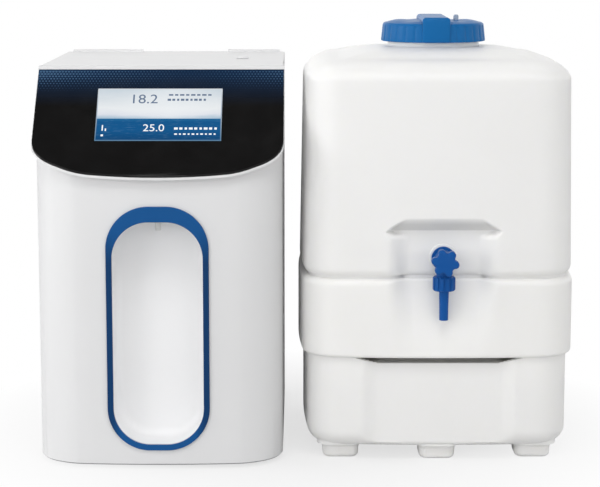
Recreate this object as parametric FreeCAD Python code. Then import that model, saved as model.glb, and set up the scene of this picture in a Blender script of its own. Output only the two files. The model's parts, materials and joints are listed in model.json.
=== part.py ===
"""Ultrapure water system: a bench cabinet with a dispensing niche, and its storage tank.

Writes one STEP file per piece to parts/. Millimetres, +Z up, the fronts face -Y.
The origin is the middle of the footprint of the whole set, on the bench top.
"""
import FreeCAD
import Part

import math
import os

# ---------------------------------------------------------------- cabinet
CABINET_WIDTH = 310.0
CABINET_DEPTH = 444.0
CABINET_TOP = 499.0            # lid's top above the bench
CABINET_WALL = 3.0
CABINET_BOW = 11.0             # how far the front stands out at its middle
CABINET_FRONT_CORNER = 34.0
CABINET_BACK_CORNER = 18.0
REAR_SEAM_MARGIN = 6.0         # rear panel ends this far before the corners
SKIRT_GAP = 2.0                # covers end this far above the tray's underside
SIDE_SEAM = 96.0               # front cover wraps back this far
SHELL_HEIGHT_BELOW_TOP = 14.0  # side panels end this far under the lid's top

FOOT_HEIGHT = 4.0
FOOT_RADIUS = 13.0
FOOT_PLUG_RADIUS = 4.0
FOOT_INSET = 40.0
FOOT_EDGE = 1.5
TRAY_THICKNESS = 3.0
TRAY_RIM_HEIGHT = 16.0

# ---------------------------------------------------------------- slanted control head
HOOD_OVERHANG = 2.5            # head stands out from the body's sides and back
HOOD_FRONT_OVERHANG = 8.0      # and from its front
SLOPE_ANGLE = 45.0
SLOPE_RISE = 127.5
LIP_THICKNESS = 1.6
FASCIA_THICKNESS = 2.0
FASCIA_INSET = 0.8
TOP_RAIL = 4.5                 # white rail above the fascia
COLLAR_DEPTH = 10.0
COLLAR_THICKNESS = 2.5
SCREEN_WIDTH = 158.0
SCREEN_LENGTH = 86.0           # measured up the slope
SCREEN_CENTRE = 99.0           # up the slope from its foot
SCREEN_GAP = 0.3
DISPLAY_MARGIN = 6.0
DISPLAY_THICKNESS = 9.0
BOARD_WIDTH = 180.0
BOARD_LENGTH = 96.0
BOARD_THICKNESS = 1.6
BOARD_STANDOFF = 8.0
BOARD_STANDOFF_RADIUS = 3.0
BOARD_STANDOFF_INSET = 10.0
BOARD_PART_WIDTH = 34.0        # largest component
BOARD_PART_LENGTH = 24.0
BOARD_PART_HEIGHT = 5.0
BOARD_PART_PITCH = 50.0

# ---------------------------------------------------------------- lid and its hinge
LID_THICKNESS = 3.0
LID_GAP = 0.8
LID_REST_GAP = 0.3
HINGE_FROM_BACK = 14.0
HINGE_DROP = 1.0               # hinge axis below the lid's top face
KNUCKLE_RADIUS = 4.5
KNUCKLE_GAP = 0.4
HINGE_PIN_RADIUS = 1.5
HINGE_PIN_FIT = 0.08
LEFT_HINGE_FROM_SIDE = 7.0
LEFT_HINGE_LENGTH = 100.0
RIGHT_HINGE_FROM_SIDE = 7.0
RIGHT_HINGE_LENGTH = 74.0
PLUG_FROM_SIDE = 56.0
PLUG_FROM_FRONT = 270.0
PLUG_HEAD_RADIUS = 8.5
PLUG_STEM_RADIUS = 6.0
PLUG_FIT = 0.3
PLUG_HEAD = 2.6
PLUG_EDGE = 1.2
PLUG_REACH = 6.0

# ---------------------------------------------------------------- dispensing niche
NICHE_WIDTH = 113.0
NICHE_BOTTOM = 31.5
NICHE_HEIGHT = 294.0
NICHE_CORNER = 46.0
NICHE_DEPTH = 45.0
NICHE_WALL = 2.5
NICHE_BACK_FILLET = 11.0
FRAME_BORDER = 7.5
FRAME_PROUD = 3.0
VISOR_DROP = 12.0              # niche frame hangs this far over the opening
NOZZLE_RADIUS = 6.0
NOZZLE_TIP_RADIUS = 3.5
NOZZLE_BORE = 2.0
NOZZLE_BELOW = 26.0
NOZZLE_ABOVE = 8.0
NOZZLE_FROM_FRONT = 26.0
FILTER_RADIUS = 17.0
FILTER_HEIGHT = 38.0
FILTER_NECK_RADIUS = 5.0
FILTER_SHOULDER = 6.0
NOZZLE_FLANGE = 3.0

# ---------------------------------------------------------------- service bay
DECK_TOP = 134.0
DECK_THICKNESS = 2.5
DECK_GAP = 2.0
DECK_FROM_FRONT = 150.0
DECK_POST_RADIUS = 6.0
DECK_POST_INSET = 14.0
CUP_HEIGHT = 14.0
CUP_WALL = 2.0
CUP_FIT = 0.3
HEAD_BELOW_TOP = 56.0          # cartridge heads under the lid's top
HEAD_HEIGHT = 34.0
PURIFIER_RADIUS = 45.0
MEMBRANE_RADIUS = 30.0
LAMP_RADIUS = 21.0
FRONT_ROW = 212.0              # cartridge rows, from the cabinet's front
BACK_ROW = 328.0
PURIFIER_FROM_SIDE = 63.0
MEMBRANE_FROM_MIDDLE = 36.0
LAMP_FROM_SIDE = 49.0
ELBOW_RADIUS = 6.0
ELBOW_HEIGHT = 16.0
VESSEL_FOOT = 6.0
VESSEL_GROOVE = 3.0
VESSEL_RIBS = 12
TUBE_RADIUS = 3.175
TUBE_WALL = 0.9

PUMP_FROM_SIDE = 73.0
PUMP_FROM_FRONT = 190.0
PUMP_HEAD_LENGTH = 42.0
PUMP_HEAD_WIDTH = 84.0
PUMP_MOTOR_RADIUS = 38.0
PUMP_MOTOR_LENGTH = 104.0
PUMP_AXIS_HEIGHT = 56.0
PUMP_HEAD_CORNER = 16.0
PUMP_COVER_THICKNESS = 5.0
PUMP_PORT_RADIUS = 6.0
PUMP_PORT_LENGTH = 10.0
PUMP_PORT_OVERLAP = 4.0
PUMP_END_BELL = 8.0
SADDLE_INSET = 14.0
SADDLE_WALL = 6.0
SADDLE_FLOOR = 4.0
SUPPLY_FROM_SIDE = 83.0
SUPPLY_FROM_FRONT = 270.0
SUPPLY_WIDTH = 98.0
SUPPLY_LENGTH = 128.0
SUPPLY_HEIGHT = 42.0
SUPPLY_NOTCH_DEPTH = 14.0
SUPPLY_NOTCH_Z = 16.0
SUPPLY_NOTCH_INSET = 6.0
SUPPLY_SLOTS = 7
SUPPLY_SLOT_FIRST = 30.0
SUPPLY_SLOT_PITCH = 12.0
SUPPLY_SLOT_WIDTH = 4.0
SUPPLY_SLOT_DEPTH = 2.0
SUPPLY_SLOT_INSET = 14.0
LOOP_PUMP_FROM_SIDE = 71.0
LOOP_PUMP_FROM_FRONT = 150.0
LOOP_PUMP_RADIUS = 24.0
LOOP_PUMP_HEIGHT = 74.0
LOOP_PUMP_HEAD = 28.0
LOOP_PUMP_MARGIN = 3.0
LOOP_PUMP_CORNER = 9.0
LOOP_PUMP_PORT_RADIUS = 5.0
LOOP_PUMP_PORT_LENGTH = 10.0
LOOP_PUMP_PORT_OVERLAP = 2.0
MANIFOLD_FROM_FRONT = 96.0
MANIFOLD_WIDTH = 132.0
MANIFOLD_LENGTH = 30.0
MANIFOLD_HEIGHT = 26.0
MANIFOLD_PORT_RADIUS = 5.0
MANIFOLD_PORT_LENGTH = 9.0
VALVE_COUNT = 3
VALVE_PITCH = 38.0
VALVE_RADIUS = 12.0
VALVE_HEIGHT = 40.0
VALVE_SEAT = 8.0
VALVE_CROWN = 6.0
CELL_RADIUS = 7.0
CELL_LENGTH = 34.0

# ---------------------------------------------------------------- rear panel
FAN_SIZE = 80.0
FAN_THICKNESS = 25.0
FAN_BORE_RADIUS = 37.5
FAN_FROM_SIDE = 85.0
FAN_BELOW_TOP = 112.0
FAN_CORNER = 6.0
FAN_HUB_RADIUS = 15.0
FAN_BLADES = 7
FAN_TIP_GAP = 1.2
FAN_SHAFT_RADIUS = 1.5
FAN_SHAFT_FIT = 0.05
FAN_STRUT_WIDTH = 5.0
FAN_STRUT_THICKNESS = 3.0
FAN_HUB_GAP = 0.6
FAN_HUB_SETBACK = 2.0
FAN_SHAFT_SHORT = 6.0          # shaft ends this far inside the frame
FAN_SCREW_INSET = 4.5
BLADE_HALF_THICKNESS = 0.7
GUARD_RINGS = 4
GUARD_WIRE = 1.8
GUARD_STANDOFF = 3.0
GUARD_EYE_MARGIN = 0.6
VENT_COUNT = 9
VENT_PITCH = 10.0
VENT_LENGTH = 70.0
VENT_HEIGHT = 4.0
VENT_FROM_SIDE = 85.0
VENT_BELOW_TOP = 154.0        # lowest vent slot
INLET_FROM_SIDE = 71.0
INLET_Z = 74.0
INLET_CAVITY_WIDTH = 24.0
INLET_CAVITY_HEIGHT = 16.6
INLET_CAVITY_DEPTH = 16.0
INLET_WALL = 2.0
INLET_FLANGE_WIDTH = 50.0
INLET_FLANGE_HEIGHT = 23.0
INLET_FLANGE_THICKNESS = 3.0
INLET_PIN_LENGTH = 13.0
INLET_PIN_WIDTH = 2.0
INLET_PIN_HEIGHT = 4.0
INLET_PIN_OFFSET = 7.0         # live pins from the middle
INLET_PIN_RISE = 0.5
INLET_EARTH_RISE = 4.5
INLET_SCREW_OFFSET = 20.0
SWITCH_ABOVE_INLET = 38.0
SWITCH_WIDTH = 21.0
SWITCH_HEIGHT = 26.0
SWITCH_DEPTH = 18.0
SWITCH_FLANGE = 2.0
SWITCH_WALL = 2.0
SWITCH_FLANGE_MARGIN = 2.0
ROCKER_HORN = 2.2              # its ends stand out of the frame this far
ROCKER_DIP = 0.6
ROCKER_CHEEK = 3.0
ROCKER_BACK = 2.0
ROCKER_END_GAP = 1.2
ROCKER_PIN_SEAT = 1.0
ROCKER_HOLE_SEAT = 1.2
ROCKER_ANGLE = 8.0
ROCKER_GAP = 0.5
ROCKER_PIVOT_DEPTH = 5.0
ROCKER_PIN_RADIUS = 1.4
ROCKER_PIN_FIT = 0.06
PORT_Z = 96.0
PORT_FROM_SIDE = 43.0
PORT_COUNT = 4
PORT_PITCH = 34.0
PORT_BORE = 3.25
PORT_BORE_DEPTH = 11.5         # tube stops short of the wall that the fitting passes
PORT_FLANGE_RADIUS = 10.0
PORT_FLANGE_THICKNESS = 3.0
PORT_BARREL_RADIUS = 7.0
PORT_BARREL_FIT = 0.2
PORT_SNOUT = 9.0
PORT_INSIDE = 18.0
COLLET_RADIUS = 5.2
COLLET_PROUD = 1.6
COLLET_SEAT = 4.0
COLLET_WALL = 2.6
COLLET_FIT = 0.1
FITTING_EDGE = 1.0
NUT_ACROSS = 19.0
NUT_THICKNESS = 5.0
SCREW_RADIUS = 3.0
SCREW_HEAD = 1.8
SCREW_SHANK_RADIUS = 1.6
SCREW_EDGE = 0.5

# ---------------------------------------------------------------- storage tank
CABINET_TO_TANK = 17.5
TANK_SETBACK = 31.0            # tank's front band behind the head's front
BAND_WIDTH = 355.0
BAND_DEPTH = 356.0
BAND_BOTTOM = 136.0
BAND_HEIGHT = 100.0
GROOVE_HEIGHT = 7.0
GROOVE_INSET = 9.0
UPPER_INSET = 3.5
LOWER_INSET = 6.5
TANK_BOW = 9.0
TANK_CORNER = 52.0
TANK_WALL = 4.0
UPPER_HEIGHT = 269.0           # from the groove to the tank's top
SHOULDER_FILLET = 28.0
BAND_FILLET = 5.0
BAND_TOP_FILLET = 8.5
LOWER_FILLET = 22.0
BELLY_HEIGHT = 18.0
LEG_WIDTH = 46.0
LEG_CORNER_INSET = 15.6
LEG_EDGE_FILLET = 6.0
LEG_FILLET = 11.0
RECESS_X = 5.0                 # tap recess, from the tank's middle
RECESS_DEPTH = 18.0
RECESS_HALF_WIDTH = 78.0
RECESS_RISE = 78.0             # its roof's edge above the band
RECESS_ROOF = 21.0             # height of the slanted roof
RECESS_TOP_HALF = 50.0
RAMP_FOOT_HALF = 62.0
RAMP_FOOT_DEPTH = 0.6
PORT_BOSS_RADIUS = 13.0
PORT_BOSS_PROUD = 0.5
PORT_BOSS_WALL = 6.0
FILL_BELOW_TOP = 48.0
DRAW_RISE = 42.0               # above the band
TANK_PORT_X = 40.0
TAP_BOSS_RADIUS = 18.5
TAP_BOSS_HEIGHT = 1.5
SCOOP_HALF_WIDTH = 98.0
SCOOP_DEPTH = 26.0
SCOOP_HEIGHT = 15.0
SCOOP_TAPER = 18.0
PANEL_HALF_WIDTH = 82.0
PANEL_DEPTH = 8.0
PANEL_DRAFT = 14.0             # its sides run out this far over its depth
NECK_RADIUS = 60.0
NECK_WALL = 5.0
NECK_HEIGHT = 29.5
CAP_RADIUS = 68.5
CAP_TOP_RADIUS = 66.5
CAP_CLEARANCE = 15.0           # skirt ends this far above the tank's top
CAP_HEIGHT = 24.5
CAP_SHOULDER = 4.0
CAP_DOME = 5.0
CAP_DOME_RADIUS = 55.0
CAP_NECK_GAP = 0.8
CAP_RIBS = 30
CAP_RIB_RADIUS = 1.6
GRIP_WIDTH = 36.0
GRIP_PROUD = 1.5
GRIP_RISE = 8.0                # grip bar above the skirt
GRIP_FILLET = 5.0
GRIP_POCKET_DEPTH = 5.0
GRIP_POCKET_WIDTH = 18.0
GASKET_THICKNESS = 3.0
GASKET_WIDTH = 8.0
VENT_RADIUS = 3.4
VENT_TALL = 12.0
VENT_OFFSET = 30.0
SET_GAP = 0.3                  # clearance between pieces that move apart

# ---------------------------------------------------------------- tap
TAP_RISE = 26.0                # tap's axis above the band
TAP_FLANGE_RADIUS = 15.0
TAP_FLANGE_THICKNESS = 3.5
TAP_BARREL_RADIUS = 11.5
TAP_SPOUT_FROM_WALL = 18.0
TAP_BARREL_LENGTH = 28.0
TAP_BRANCH_RADIUS = 10.0
TAP_BORE = 5.0
TAP_THREAD_RADIUS = 9.0
COLLAR_RADIUS = 14.25
COLLAR_DROP = 20.0             # collar nut's top under the tap's axis
COLLAR_HEIGHT = 17.8
COLLAR_FLUTES = 12
COLLAR_FLUTE_RADIUS = 1.6
SPOUT_TOP_RADIUS = 6.3
SPOUT_TIP_RADIUS = 5.6
SPOUT_LENGTH = 37.9
SPOUT_HOSE_LENGTH = 14.0       # straight end that a hose pushes onto
SPOUT_BORE = 3.4
SPOUT_COLLAR_RADIUS = 9.0
KNOB_LOBES = 6
KNOB_TURN = -10.0              # degrees, seen from the front
KNOB_LOBE_CENTRE = 12.7
KNOB_LOBE_RADIUS = 4.8
KNOB_VALLEY_RADIUS = 3.5
KNOB_THICKNESS = 12.0
KNOB_CHAMFER = 1.6
KNOB_BOSS_RADIUS = 7.2
KNOB_BOSS = 2.0
KNOB_SOCKET = 8.4
SPINDLE_RADIUS = 3.0
SPINDLE_FIT = 0.08
BACK_NUT_ACROSS = 34.0
BACK_NUT_THICKNESS = 8.0
WASHER_THICKNESS = 2.0
THREAD_PAST_NUT = 2.0
COLLAR_EDGE = 1.5
COLLAR_FLOOR = 4.0
TRANSDUCER_FLANGE = 5.0
TRANSDUCER_RADIUS = 8.0
TRANSDUCER_LENGTH = 20.0
TRANSDUCER_TIP_RADIUS = 5.0
TRANSDUCER_TIP = 7.0

# ---------------------------------------------------------------- places worked out from the sizes
REAR_PROUD = PORT_SNOUT + PORT_FLANGE_THICKNESS + COLLET_PROUD
OVERALL_WIDTH = CABINET_WIDTH + 2.0 * HOOD_OVERHANG + CABINET_TO_TANK + BAND_WIDTH
OVERALL_DEPTH = HOOD_FRONT_OVERHANG + CABINET_DEPTH + REAR_PROUD
CABINET_X = -OVERALL_WIDTH / 2.0 + HOOD_OVERHANG + CABINET_WIDTH / 2.0
HOOD_FRONT = -OVERALL_DEPTH / 2.0
CABINET_FRONT = HOOD_FRONT + HOOD_FRONT_OVERHANG
CABINET_BACK = CABINET_FRONT + CABINET_DEPTH
TRAY_Z = FOOT_HEIGHT
SKIRT_Z = TRAY_Z + SKIRT_GAP
SHELL_TOP = CABINET_TOP - SHELL_HEIGHT_BELOW_TOP
REAR_HALF_WIDTH = CABINET_WIDTH / 2.0 - CABINET_BACK_CORNER - REAR_SEAM_MARGIN
NICHE_TOP = NICHE_BOTTOM + NICHE_HEIGHT
SLOPE = math.radians(SLOPE_ANGLE)
SLOPE_RUN = SLOPE_RISE / math.tan(SLOPE)
SLOPE_FOOT_Z = CABINET_TOP - SLOPE_RISE
HEAD_SEAT_DEPTH = FASCIA_THICKNESS + LIP_THICKNESS
LID_FRONT = HOOD_FRONT + SLOPE_RUN + HEAD_SEAT_DEPTH / math.sin(SLOPE) + LID_GAP
HINGE_Y = CABINET_BACK - HINGE_FROM_BACK
HINGE_Z = CABINET_TOP - HINGE_DROP
INNER_BACK = CABINET_BACK - CABINET_WALL
TRAY_FLOOR = TRAY_Z + TRAY_THICKNESS
HEAD_TOP = CABINET_TOP - HEAD_BELOW_TOP
LEFT_SIDE = CABINET_X - CABINET_WIDTH / 2.0
RIGHT_SIDE = CABINET_X + CABINET_WIDTH / 2.0
PUMP_X = LEFT_SIDE + PUMP_FROM_SIDE
SUPPLY_X = RIGHT_SIDE - SUPPLY_FROM_SIDE
LOOP_PUMP_X = RIGHT_SIDE - LOOP_PUMP_FROM_SIDE
FAN_X = LEFT_SIDE + FAN_FROM_SIDE
FAN_Z = CABINET_TOP - FAN_BELOW_TOP
VENT_X = RIGHT_SIDE - VENT_FROM_SIDE
VENT_Z = CABINET_TOP - VENT_BELOW_TOP
INLET_X = RIGHT_SIDE - INLET_FROM_SIDE
SWITCH_X = INLET_X
SWITCH_Z = INLET_Z + SWITCH_ABOVE_INLET
LEFT_HINGE_START = LEFT_SIDE + LEFT_HINGE_FROM_SIDE
RIGHT_HINGE_START = RIGHT_SIDE - RIGHT_HINGE_FROM_SIDE - RIGHT_HINGE_LENGTH
BAND_TOP = BAND_BOTTOM + BAND_HEIGHT
TANK_TOP = BAND_TOP + GROOVE_HEIGHT + UPPER_HEIGHT
NECK_TOP = TANK_TOP + NECK_HEIGHT
CAP_BOTTOM = TANK_TOP + CAP_CLEARANCE
CAP_RIM = CAP_BOTTOM + CAP_HEIGHT
GRIP_TOP = CAP_RIM + GRIP_RISE
RECESS_TOP = BAND_TOP + RECESS_RISE
RECESS_SHOULDER = RECESS_TOP - RECESS_ROOF
FILL_Z = TANK_TOP - FILL_BELOW_TOP
DRAW_Z = BAND_TOP + DRAW_RISE
TAP_AXIS_Z = BAND_TOP + TAP_RISE
COLLAR_TOP = TAP_AXIS_Z - COLLAR_DROP
TANK_X = OVERALL_WIDTH / 2.0 - BAND_WIDTH / 2.0
BAND_FRONT = HOOD_FRONT + TANK_SETBACK
TANK_Y = BAND_FRONT + BAND_DEPTH / 2.0
BAND_BACK = BAND_FRONT + BAND_DEPTH
TAP_X = TANK_X + RECESS_X
TAP_SEAT_Y = BAND_FRONT + RECESS_DEPTH - TAP_BOSS_HEIGHT
FAR = 1000.0                   # longer than anything it trims

X = FreeCAD.Vector(1, 0, 0)
Y = FreeCAD.Vector(0, 1, 0)
Z = FreeCAD.Vector(0, 0, 1)


# ================================================================ shape helpers
def point(x, y, z):
    return FreeCAD.Vector(x, y, z)


def box(x0, x1, y0, y1, z0, z1):
    return Part.makeBox(x1 - x0, y1 - y0, z1 - z0, point(x0, y0, z0))


def rod(radius, length, base, axis=Z):
    return Part.makeCylinder(radius, length, base, axis)


def ring(outer, inner, length, base, axis=Z):
    return rod(outer, length, base, axis).cut(rod(inner, length, base, axis))


def prism(outline, direction):
    """Solid swept from a closed outline of straight edges."""
    wire = Part.makePolygon(outline + [outline[0]])
    return Part.Face(wire).extrude(direction)


def profile_yz(outline, x0, x1):
    """Solid with a side-view outline of (y, z) pairs, from x0 to x1."""
    return prism([point(x0, y, z) for y, z in outline], X * (x1 - x0))


def turned(outline, base, axis=Z):
    """Solid of revolution from a closed outline of (radius, height) pairs."""
    wire = Part.makePolygon([point(r, 0, h) for r, h in outline + [outline[0]]])
    solid = Part.Face(wire).revolve(point(0, 0, 0), Z, 360)
    solid.Placement = FreeCAD.Placement(base, FreeCAD.Rotation(Z, axis))
    return solid


def hexagon(across, thickness, base, axis=Z):
    corner = across / math.sqrt(3.0)
    outline = [point(corner * math.cos(math.radians(60 * i)), corner * math.sin(math.radians(60 * i)), 0)
               for i in range(6)]
    solid = prism(outline, Z * thickness)
    solid.Placement = FreeCAD.Placement(base, FreeCAD.Rotation(Z, axis))
    return solid


def fuse(first, *others):
    return first.multiFuse(list(others)).removeSplitter()


def upright_edges(solid, test):
    """Edges parallel to Z whose middle passes the test."""
    found = []
    for edge in solid.Edges:
        start = edge.Vertexes[0].Point
        end = edge.Vertexes[-1].Point
        if abs(start.x - end.x) + abs(start.y - end.y) < 1e-6 and abs(start.z - end.z) > 1e-6:
            if test((start + end) * 0.5):
                found.append(edge)
    return found


def edges_at_height(solid, z):
    return [edge for edge in solid.Edges
            if abs(edge.BoundBox.ZMin - z) < 1e-4 and abs(edge.BoundBox.ZMax - z) < 1e-4]


def bowed_edge(start, end, outward, bow):
    """Edge between two corners whose middle stands out by bow."""
    if bow <= 0.0:
        return Part.LineSegment(start, end).toShape()
    return Part.Arc(start, (start + end) * 0.5 + outward * bow, end).toShape()


def bowed_prism(x, width, front, back, bows, corners, z0, z1):
    """Upright block with bowed walls and rounded corners.

    width, front and back are its outermost places. bows are those of the front, sides and back;
    corners are the radii at the front and at the back.
    """
    front_bow, side_bow, back_bow = bows
    left = x - width / 2.0 + side_bow
    right = x + width / 2.0 - side_bow
    near = front + front_bow
    far = back - back_bow
    a = point(left, near, z0)
    b = point(right, near, z0)
    c = point(right, far, z0)
    d = point(left, far, z0)
    outline = Part.Wire([bowed_edge(a, b, Y * -1, front_bow), bowed_edge(b, c, X, side_bow),
                         bowed_edge(c, d, Y, back_bow), bowed_edge(d, a, X * -1, side_bow)])
    block = Part.Face(outline).extrude(Z * (z1 - z0))
    middle = (front + back) / 2.0
    block = block.makeFillet(corners[0], upright_edges(block, lambda p: p.y < middle))
    corner_zone = middle + (back - front) / 4.0
    return block.makeFillet(corners[1], upright_edges(block, lambda p: p.y > corner_zone))


def on_slope(solid):
    """Moves a solid from slope axes (x across, y up the slope, z out of it) to its place."""
    turn = FreeCAD.Rotation(X, SLOPE_ANGLE)
    solid.Placement = FreeCAD.Placement(point(CABINET_X, HOOD_FRONT, SLOPE_FOOT_Z), turn)
    return solid


def slope_slab(depth_from, depth_to):
    """Endless slab between two depths under the slanted face."""
    return on_slope(box(-FAR, FAR, -FAR, FAR, -depth_to, -depth_from))


def outside_slope(depth):
    """Everything in front of the plane that lies depth under the slanted face."""
    return slope_slab(-FAR, depth)


def cabinet_block(inset, z0, z1):
    """The cabinet's plan, drawn in by inset all round."""
    return bowed_prism(CABINET_X, CABINET_WIDTH - 2.0 * inset, CABINET_FRONT + inset, CABINET_BACK - inset,
                       (CABINET_BOW, 0.0, 0.0),
                       (CABINET_FRONT_CORNER - inset, CABINET_BACK_CORNER - inset), z0, z1)


def tank_block(inset, z0, z1):
    """The tank's plan at its middle band, drawn in by inset all round."""
    return bowed_prism(TANK_X, BAND_WIDTH - 2.0 * inset, BAND_FRONT + inset, BAND_BACK - inset,
                       (TANK_BOW, TANK_BOW, TANK_BOW),
                       (TANK_CORNER - inset, TANK_CORNER - inset), z0, z1)


def niche_block(margin, bottom, top, y0, y1):
    """Tall block with rounded corners, lying front to back."""
    half = NICHE_WIDTH / 2.0 + margin
    block = box(CABINET_X - half, CABINET_X + half, y0, y1, bottom, top)
    lengthwise = [edge for edge in block.Edges
                  if abs(edge.BoundBox.YLength - (y1 - y0)) < 1e-6]
    return block.makeFillet(NICHE_CORNER + margin, lengthwise)


# ================================================================ cabinet covers
def cabinet_wall():
    """The upright wall that the covers are cut from, under the slanted head."""
    wall = cabinet_block(0.0, SKIRT_Z, SHELL_TOP).cut(cabinet_block(CABINET_WALL, SKIRT_Z, SHELL_TOP))
    return wall.cut(outside_slope(HEAD_SEAT_DEPTH))


def front_cover():
    seam = CABINET_FRONT + SIDE_SEAM
    cover = cabinet_wall().common(box(-FAR, FAR, -FAR, seam, 0, FAR))
    return cover.cut(niche_block(0.0, NICHE_BOTTOM, NICHE_TOP, HOOD_FRONT, seam))


def side_panel(side):
    seam = CABINET_FRONT + SIDE_SEAM
    behind = box(-FAR, FAR, seam, FAR, 0, FAR)
    if side < 0:
        zone = box(-FAR, CABINET_X - REAR_HALF_WIDTH, -FAR, FAR, 0, FAR)
    else:
        zone = box(CABINET_X + REAR_HALF_WIDTH, FAR, -FAR, FAR, 0, FAR)
    return cabinet_wall().common(behind).common(zone)


def rear_cutters():
    """Everything that goes through the rear panel."""
    y0 = INNER_BACK - 1.0
    y1 = CABINET_BACK + 1.0
    through = y1 - y0
    cutters = [rod(FAN_BORE_RADIUS, through, point(FAN_X, y0, FAN_Z), Y)]
    for port_x in port_places():
        hole_radius = PORT_BARREL_RADIUS + PORT_BARREL_FIT
        cutters.append(rod(hole_radius, through, point(port_x, y0, PORT_Z), Y))
    for i in range(VENT_COUNT):
        z = VENT_Z + i * VENT_PITCH
        x0 = VENT_X - VENT_LENGTH / 2.0
        cutters.append(box(x0, x0 + VENT_LENGTH, y0, y1, z, z + VENT_HEIGHT))
    cutters.append(inlet_body(PORT_BARREL_FIT, y0, y1))
    cutters.append(switch_body(PORT_BARREL_FIT, y0, y1))
    for place in rear_screw_places():
        cutters.append(rod(SCREW_SHANK_RADIUS, through, point(place.x, y0, place.z), Y))
    return cutters


def rear_panel():
    zone = box(CABINET_X - REAR_HALF_WIDTH, CABINET_X + REAR_HALF_WIDTH, INNER_BACK - 1.0, FAR, 0, FAR)
    return cabinet_wall().common(zone).cut(rear_cutters())


def rear_screw_places():
    """Two screws at each side of the inlet, and four round the fan."""
    places = []
    for side in (-1, 1):
        places.append(point(INLET_X + side * INLET_SCREW_OFFSET, CABINET_BACK, INLET_Z))
    for side_x in (-1, 1):
        for side_z in (-1, 1):
            offset = FAN_SIZE / 2.0 - FAN_SCREW_INSET
            places.append(point(FAN_X + side_x * offset, CABINET_BACK, FAN_Z + side_z * offset))
    return places


# ================================================================ base
def foot_places():
    half = CABINET_WIDTH / 2.0 - FOOT_INSET
    return [point(CABINET_X + side * half, y, 0.0)
            for side in (-1, 1) for y in (CABINET_FRONT + FOOT_INSET, CABINET_BACK - FOOT_INSET)]


def base_tray():
    top = TRAY_Z + TRAY_RIM_HEIGHT
    tray = cabinet_block(CABINET_WALL, TRAY_Z, top)
    tray = tray.cut(cabinet_block(CABINET_WALL + TRAY_THICKNESS, TRAY_FLOOR, top))
    return tray.cut([rod(FOOT_PLUG_RADIUS, TRAY_THICKNESS, place + Z * TRAY_Z) for place in foot_places()])


def rubber_feet():
    plug_top = TRAY_FLOOR
    outline = [(0, 0), (FOOT_RADIUS - FOOT_EDGE, 0), (FOOT_RADIUS, FOOT_EDGE), (FOOT_RADIUS, TRAY_Z),
               (FOOT_PLUG_RADIUS, TRAY_Z), (FOOT_PLUG_RADIUS, plug_top), (0, plug_top)]
    return Part.makeCompound([turned(outline, place) for place in foot_places()])


# ================================================================ slanted head
def hood_block(inset):
    """The head's plan, drawn in by inset all round."""
    out = HOOD_OVERHANG - inset
    return bowed_prism(CABINET_X, CABINET_WIDTH + 2.0 * out, HOOD_FRONT + inset, CABINET_BACK + out,
                       (CABINET_BOW, 0.0, 0.0),
                       (CABINET_FRONT_CORNER + out, CABINET_BACK_CORNER + out), 0.0, CABINET_TOP)


def fascia_zone(top_gap):
    """Where the fascia lies: its depth, below the white rail."""
    slab = slope_slab(0.0, FASCIA_THICKNESS)
    return slab.common(box(-FAR, FAR, -FAR, FAR, 0, CABINET_TOP - TOP_RAIL - top_gap))


def screen_block(margin, depth_from, depth_to):
    half_width = SCREEN_WIDTH / 2.0 + margin
    half_length = SCREEN_LENGTH / 2.0 + margin
    return on_slope(box(-half_width, half_width, SCREEN_CENTRE - half_length, SCREEN_CENTRE + half_length,
                        -depth_to, -depth_from))


def control_bezel():
    """White lip under the fascia, its collar inside the covers and the rail at the top."""
    lip = hood_block(0.0).common(slope_slab(0.0, HEAD_SEAT_DEPTH)).cut(fascia_zone(0.0))
    collar_zone = slope_slab(HEAD_SEAT_DEPTH, HEAD_SEAT_DEPTH + COLLAR_DEPTH)
    collar_outer = cabinet_block(CABINET_WALL, SKIRT_Z, CABINET_TOP - LID_THICKNESS)
    collar_inner = cabinet_block(CABINET_WALL + COLLAR_THICKNESS, SKIRT_Z, CABINET_TOP)
    rail_back = LID_FRONT - LID_GAP
    collar = collar_outer.cut(collar_inner).common(collar_zone)
    collar = collar.common(box(-FAR, FAR, -FAR, rail_back, 0, FAR))
    half = CABINET_WIDTH / 2.0 - CABINET_WALL
    cross_rail = box(CABINET_X - half, CABINET_X + half, rail_back - COLLAR_THICKNESS, rail_back,
                     SHELL_TOP - COLLAR_DEPTH, CABINET_TOP).cut(outside_slope(HEAD_SEAT_DEPTH))
    window = screen_block(0.0, 0.0, HEAD_SEAT_DEPTH)
    return fuse(lip, collar, cross_rail).cut(window)


def control_fascia():
    fascia = hood_block(FASCIA_INSET).common(fascia_zone(SCREEN_GAP))
    return fascia.cut(screen_block(0.0, 0.0, FASCIA_THICKNESS))


def touch_screen():
    return screen_block(-SCREEN_GAP, 0.0, HEAD_SEAT_DEPTH)


def display_module():
    depth = HEAD_SEAT_DEPTH
    return screen_block(DISPLAY_MARGIN, depth, depth + DISPLAY_THICKNESS)


def board_block(x_half, length_half, depth_from, depth_to):
    return on_slope(box(-x_half, x_half, SCREEN_CENTRE - length_half, SCREEN_CENTRE + length_half,
                        -depth_to, -depth_from))


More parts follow.
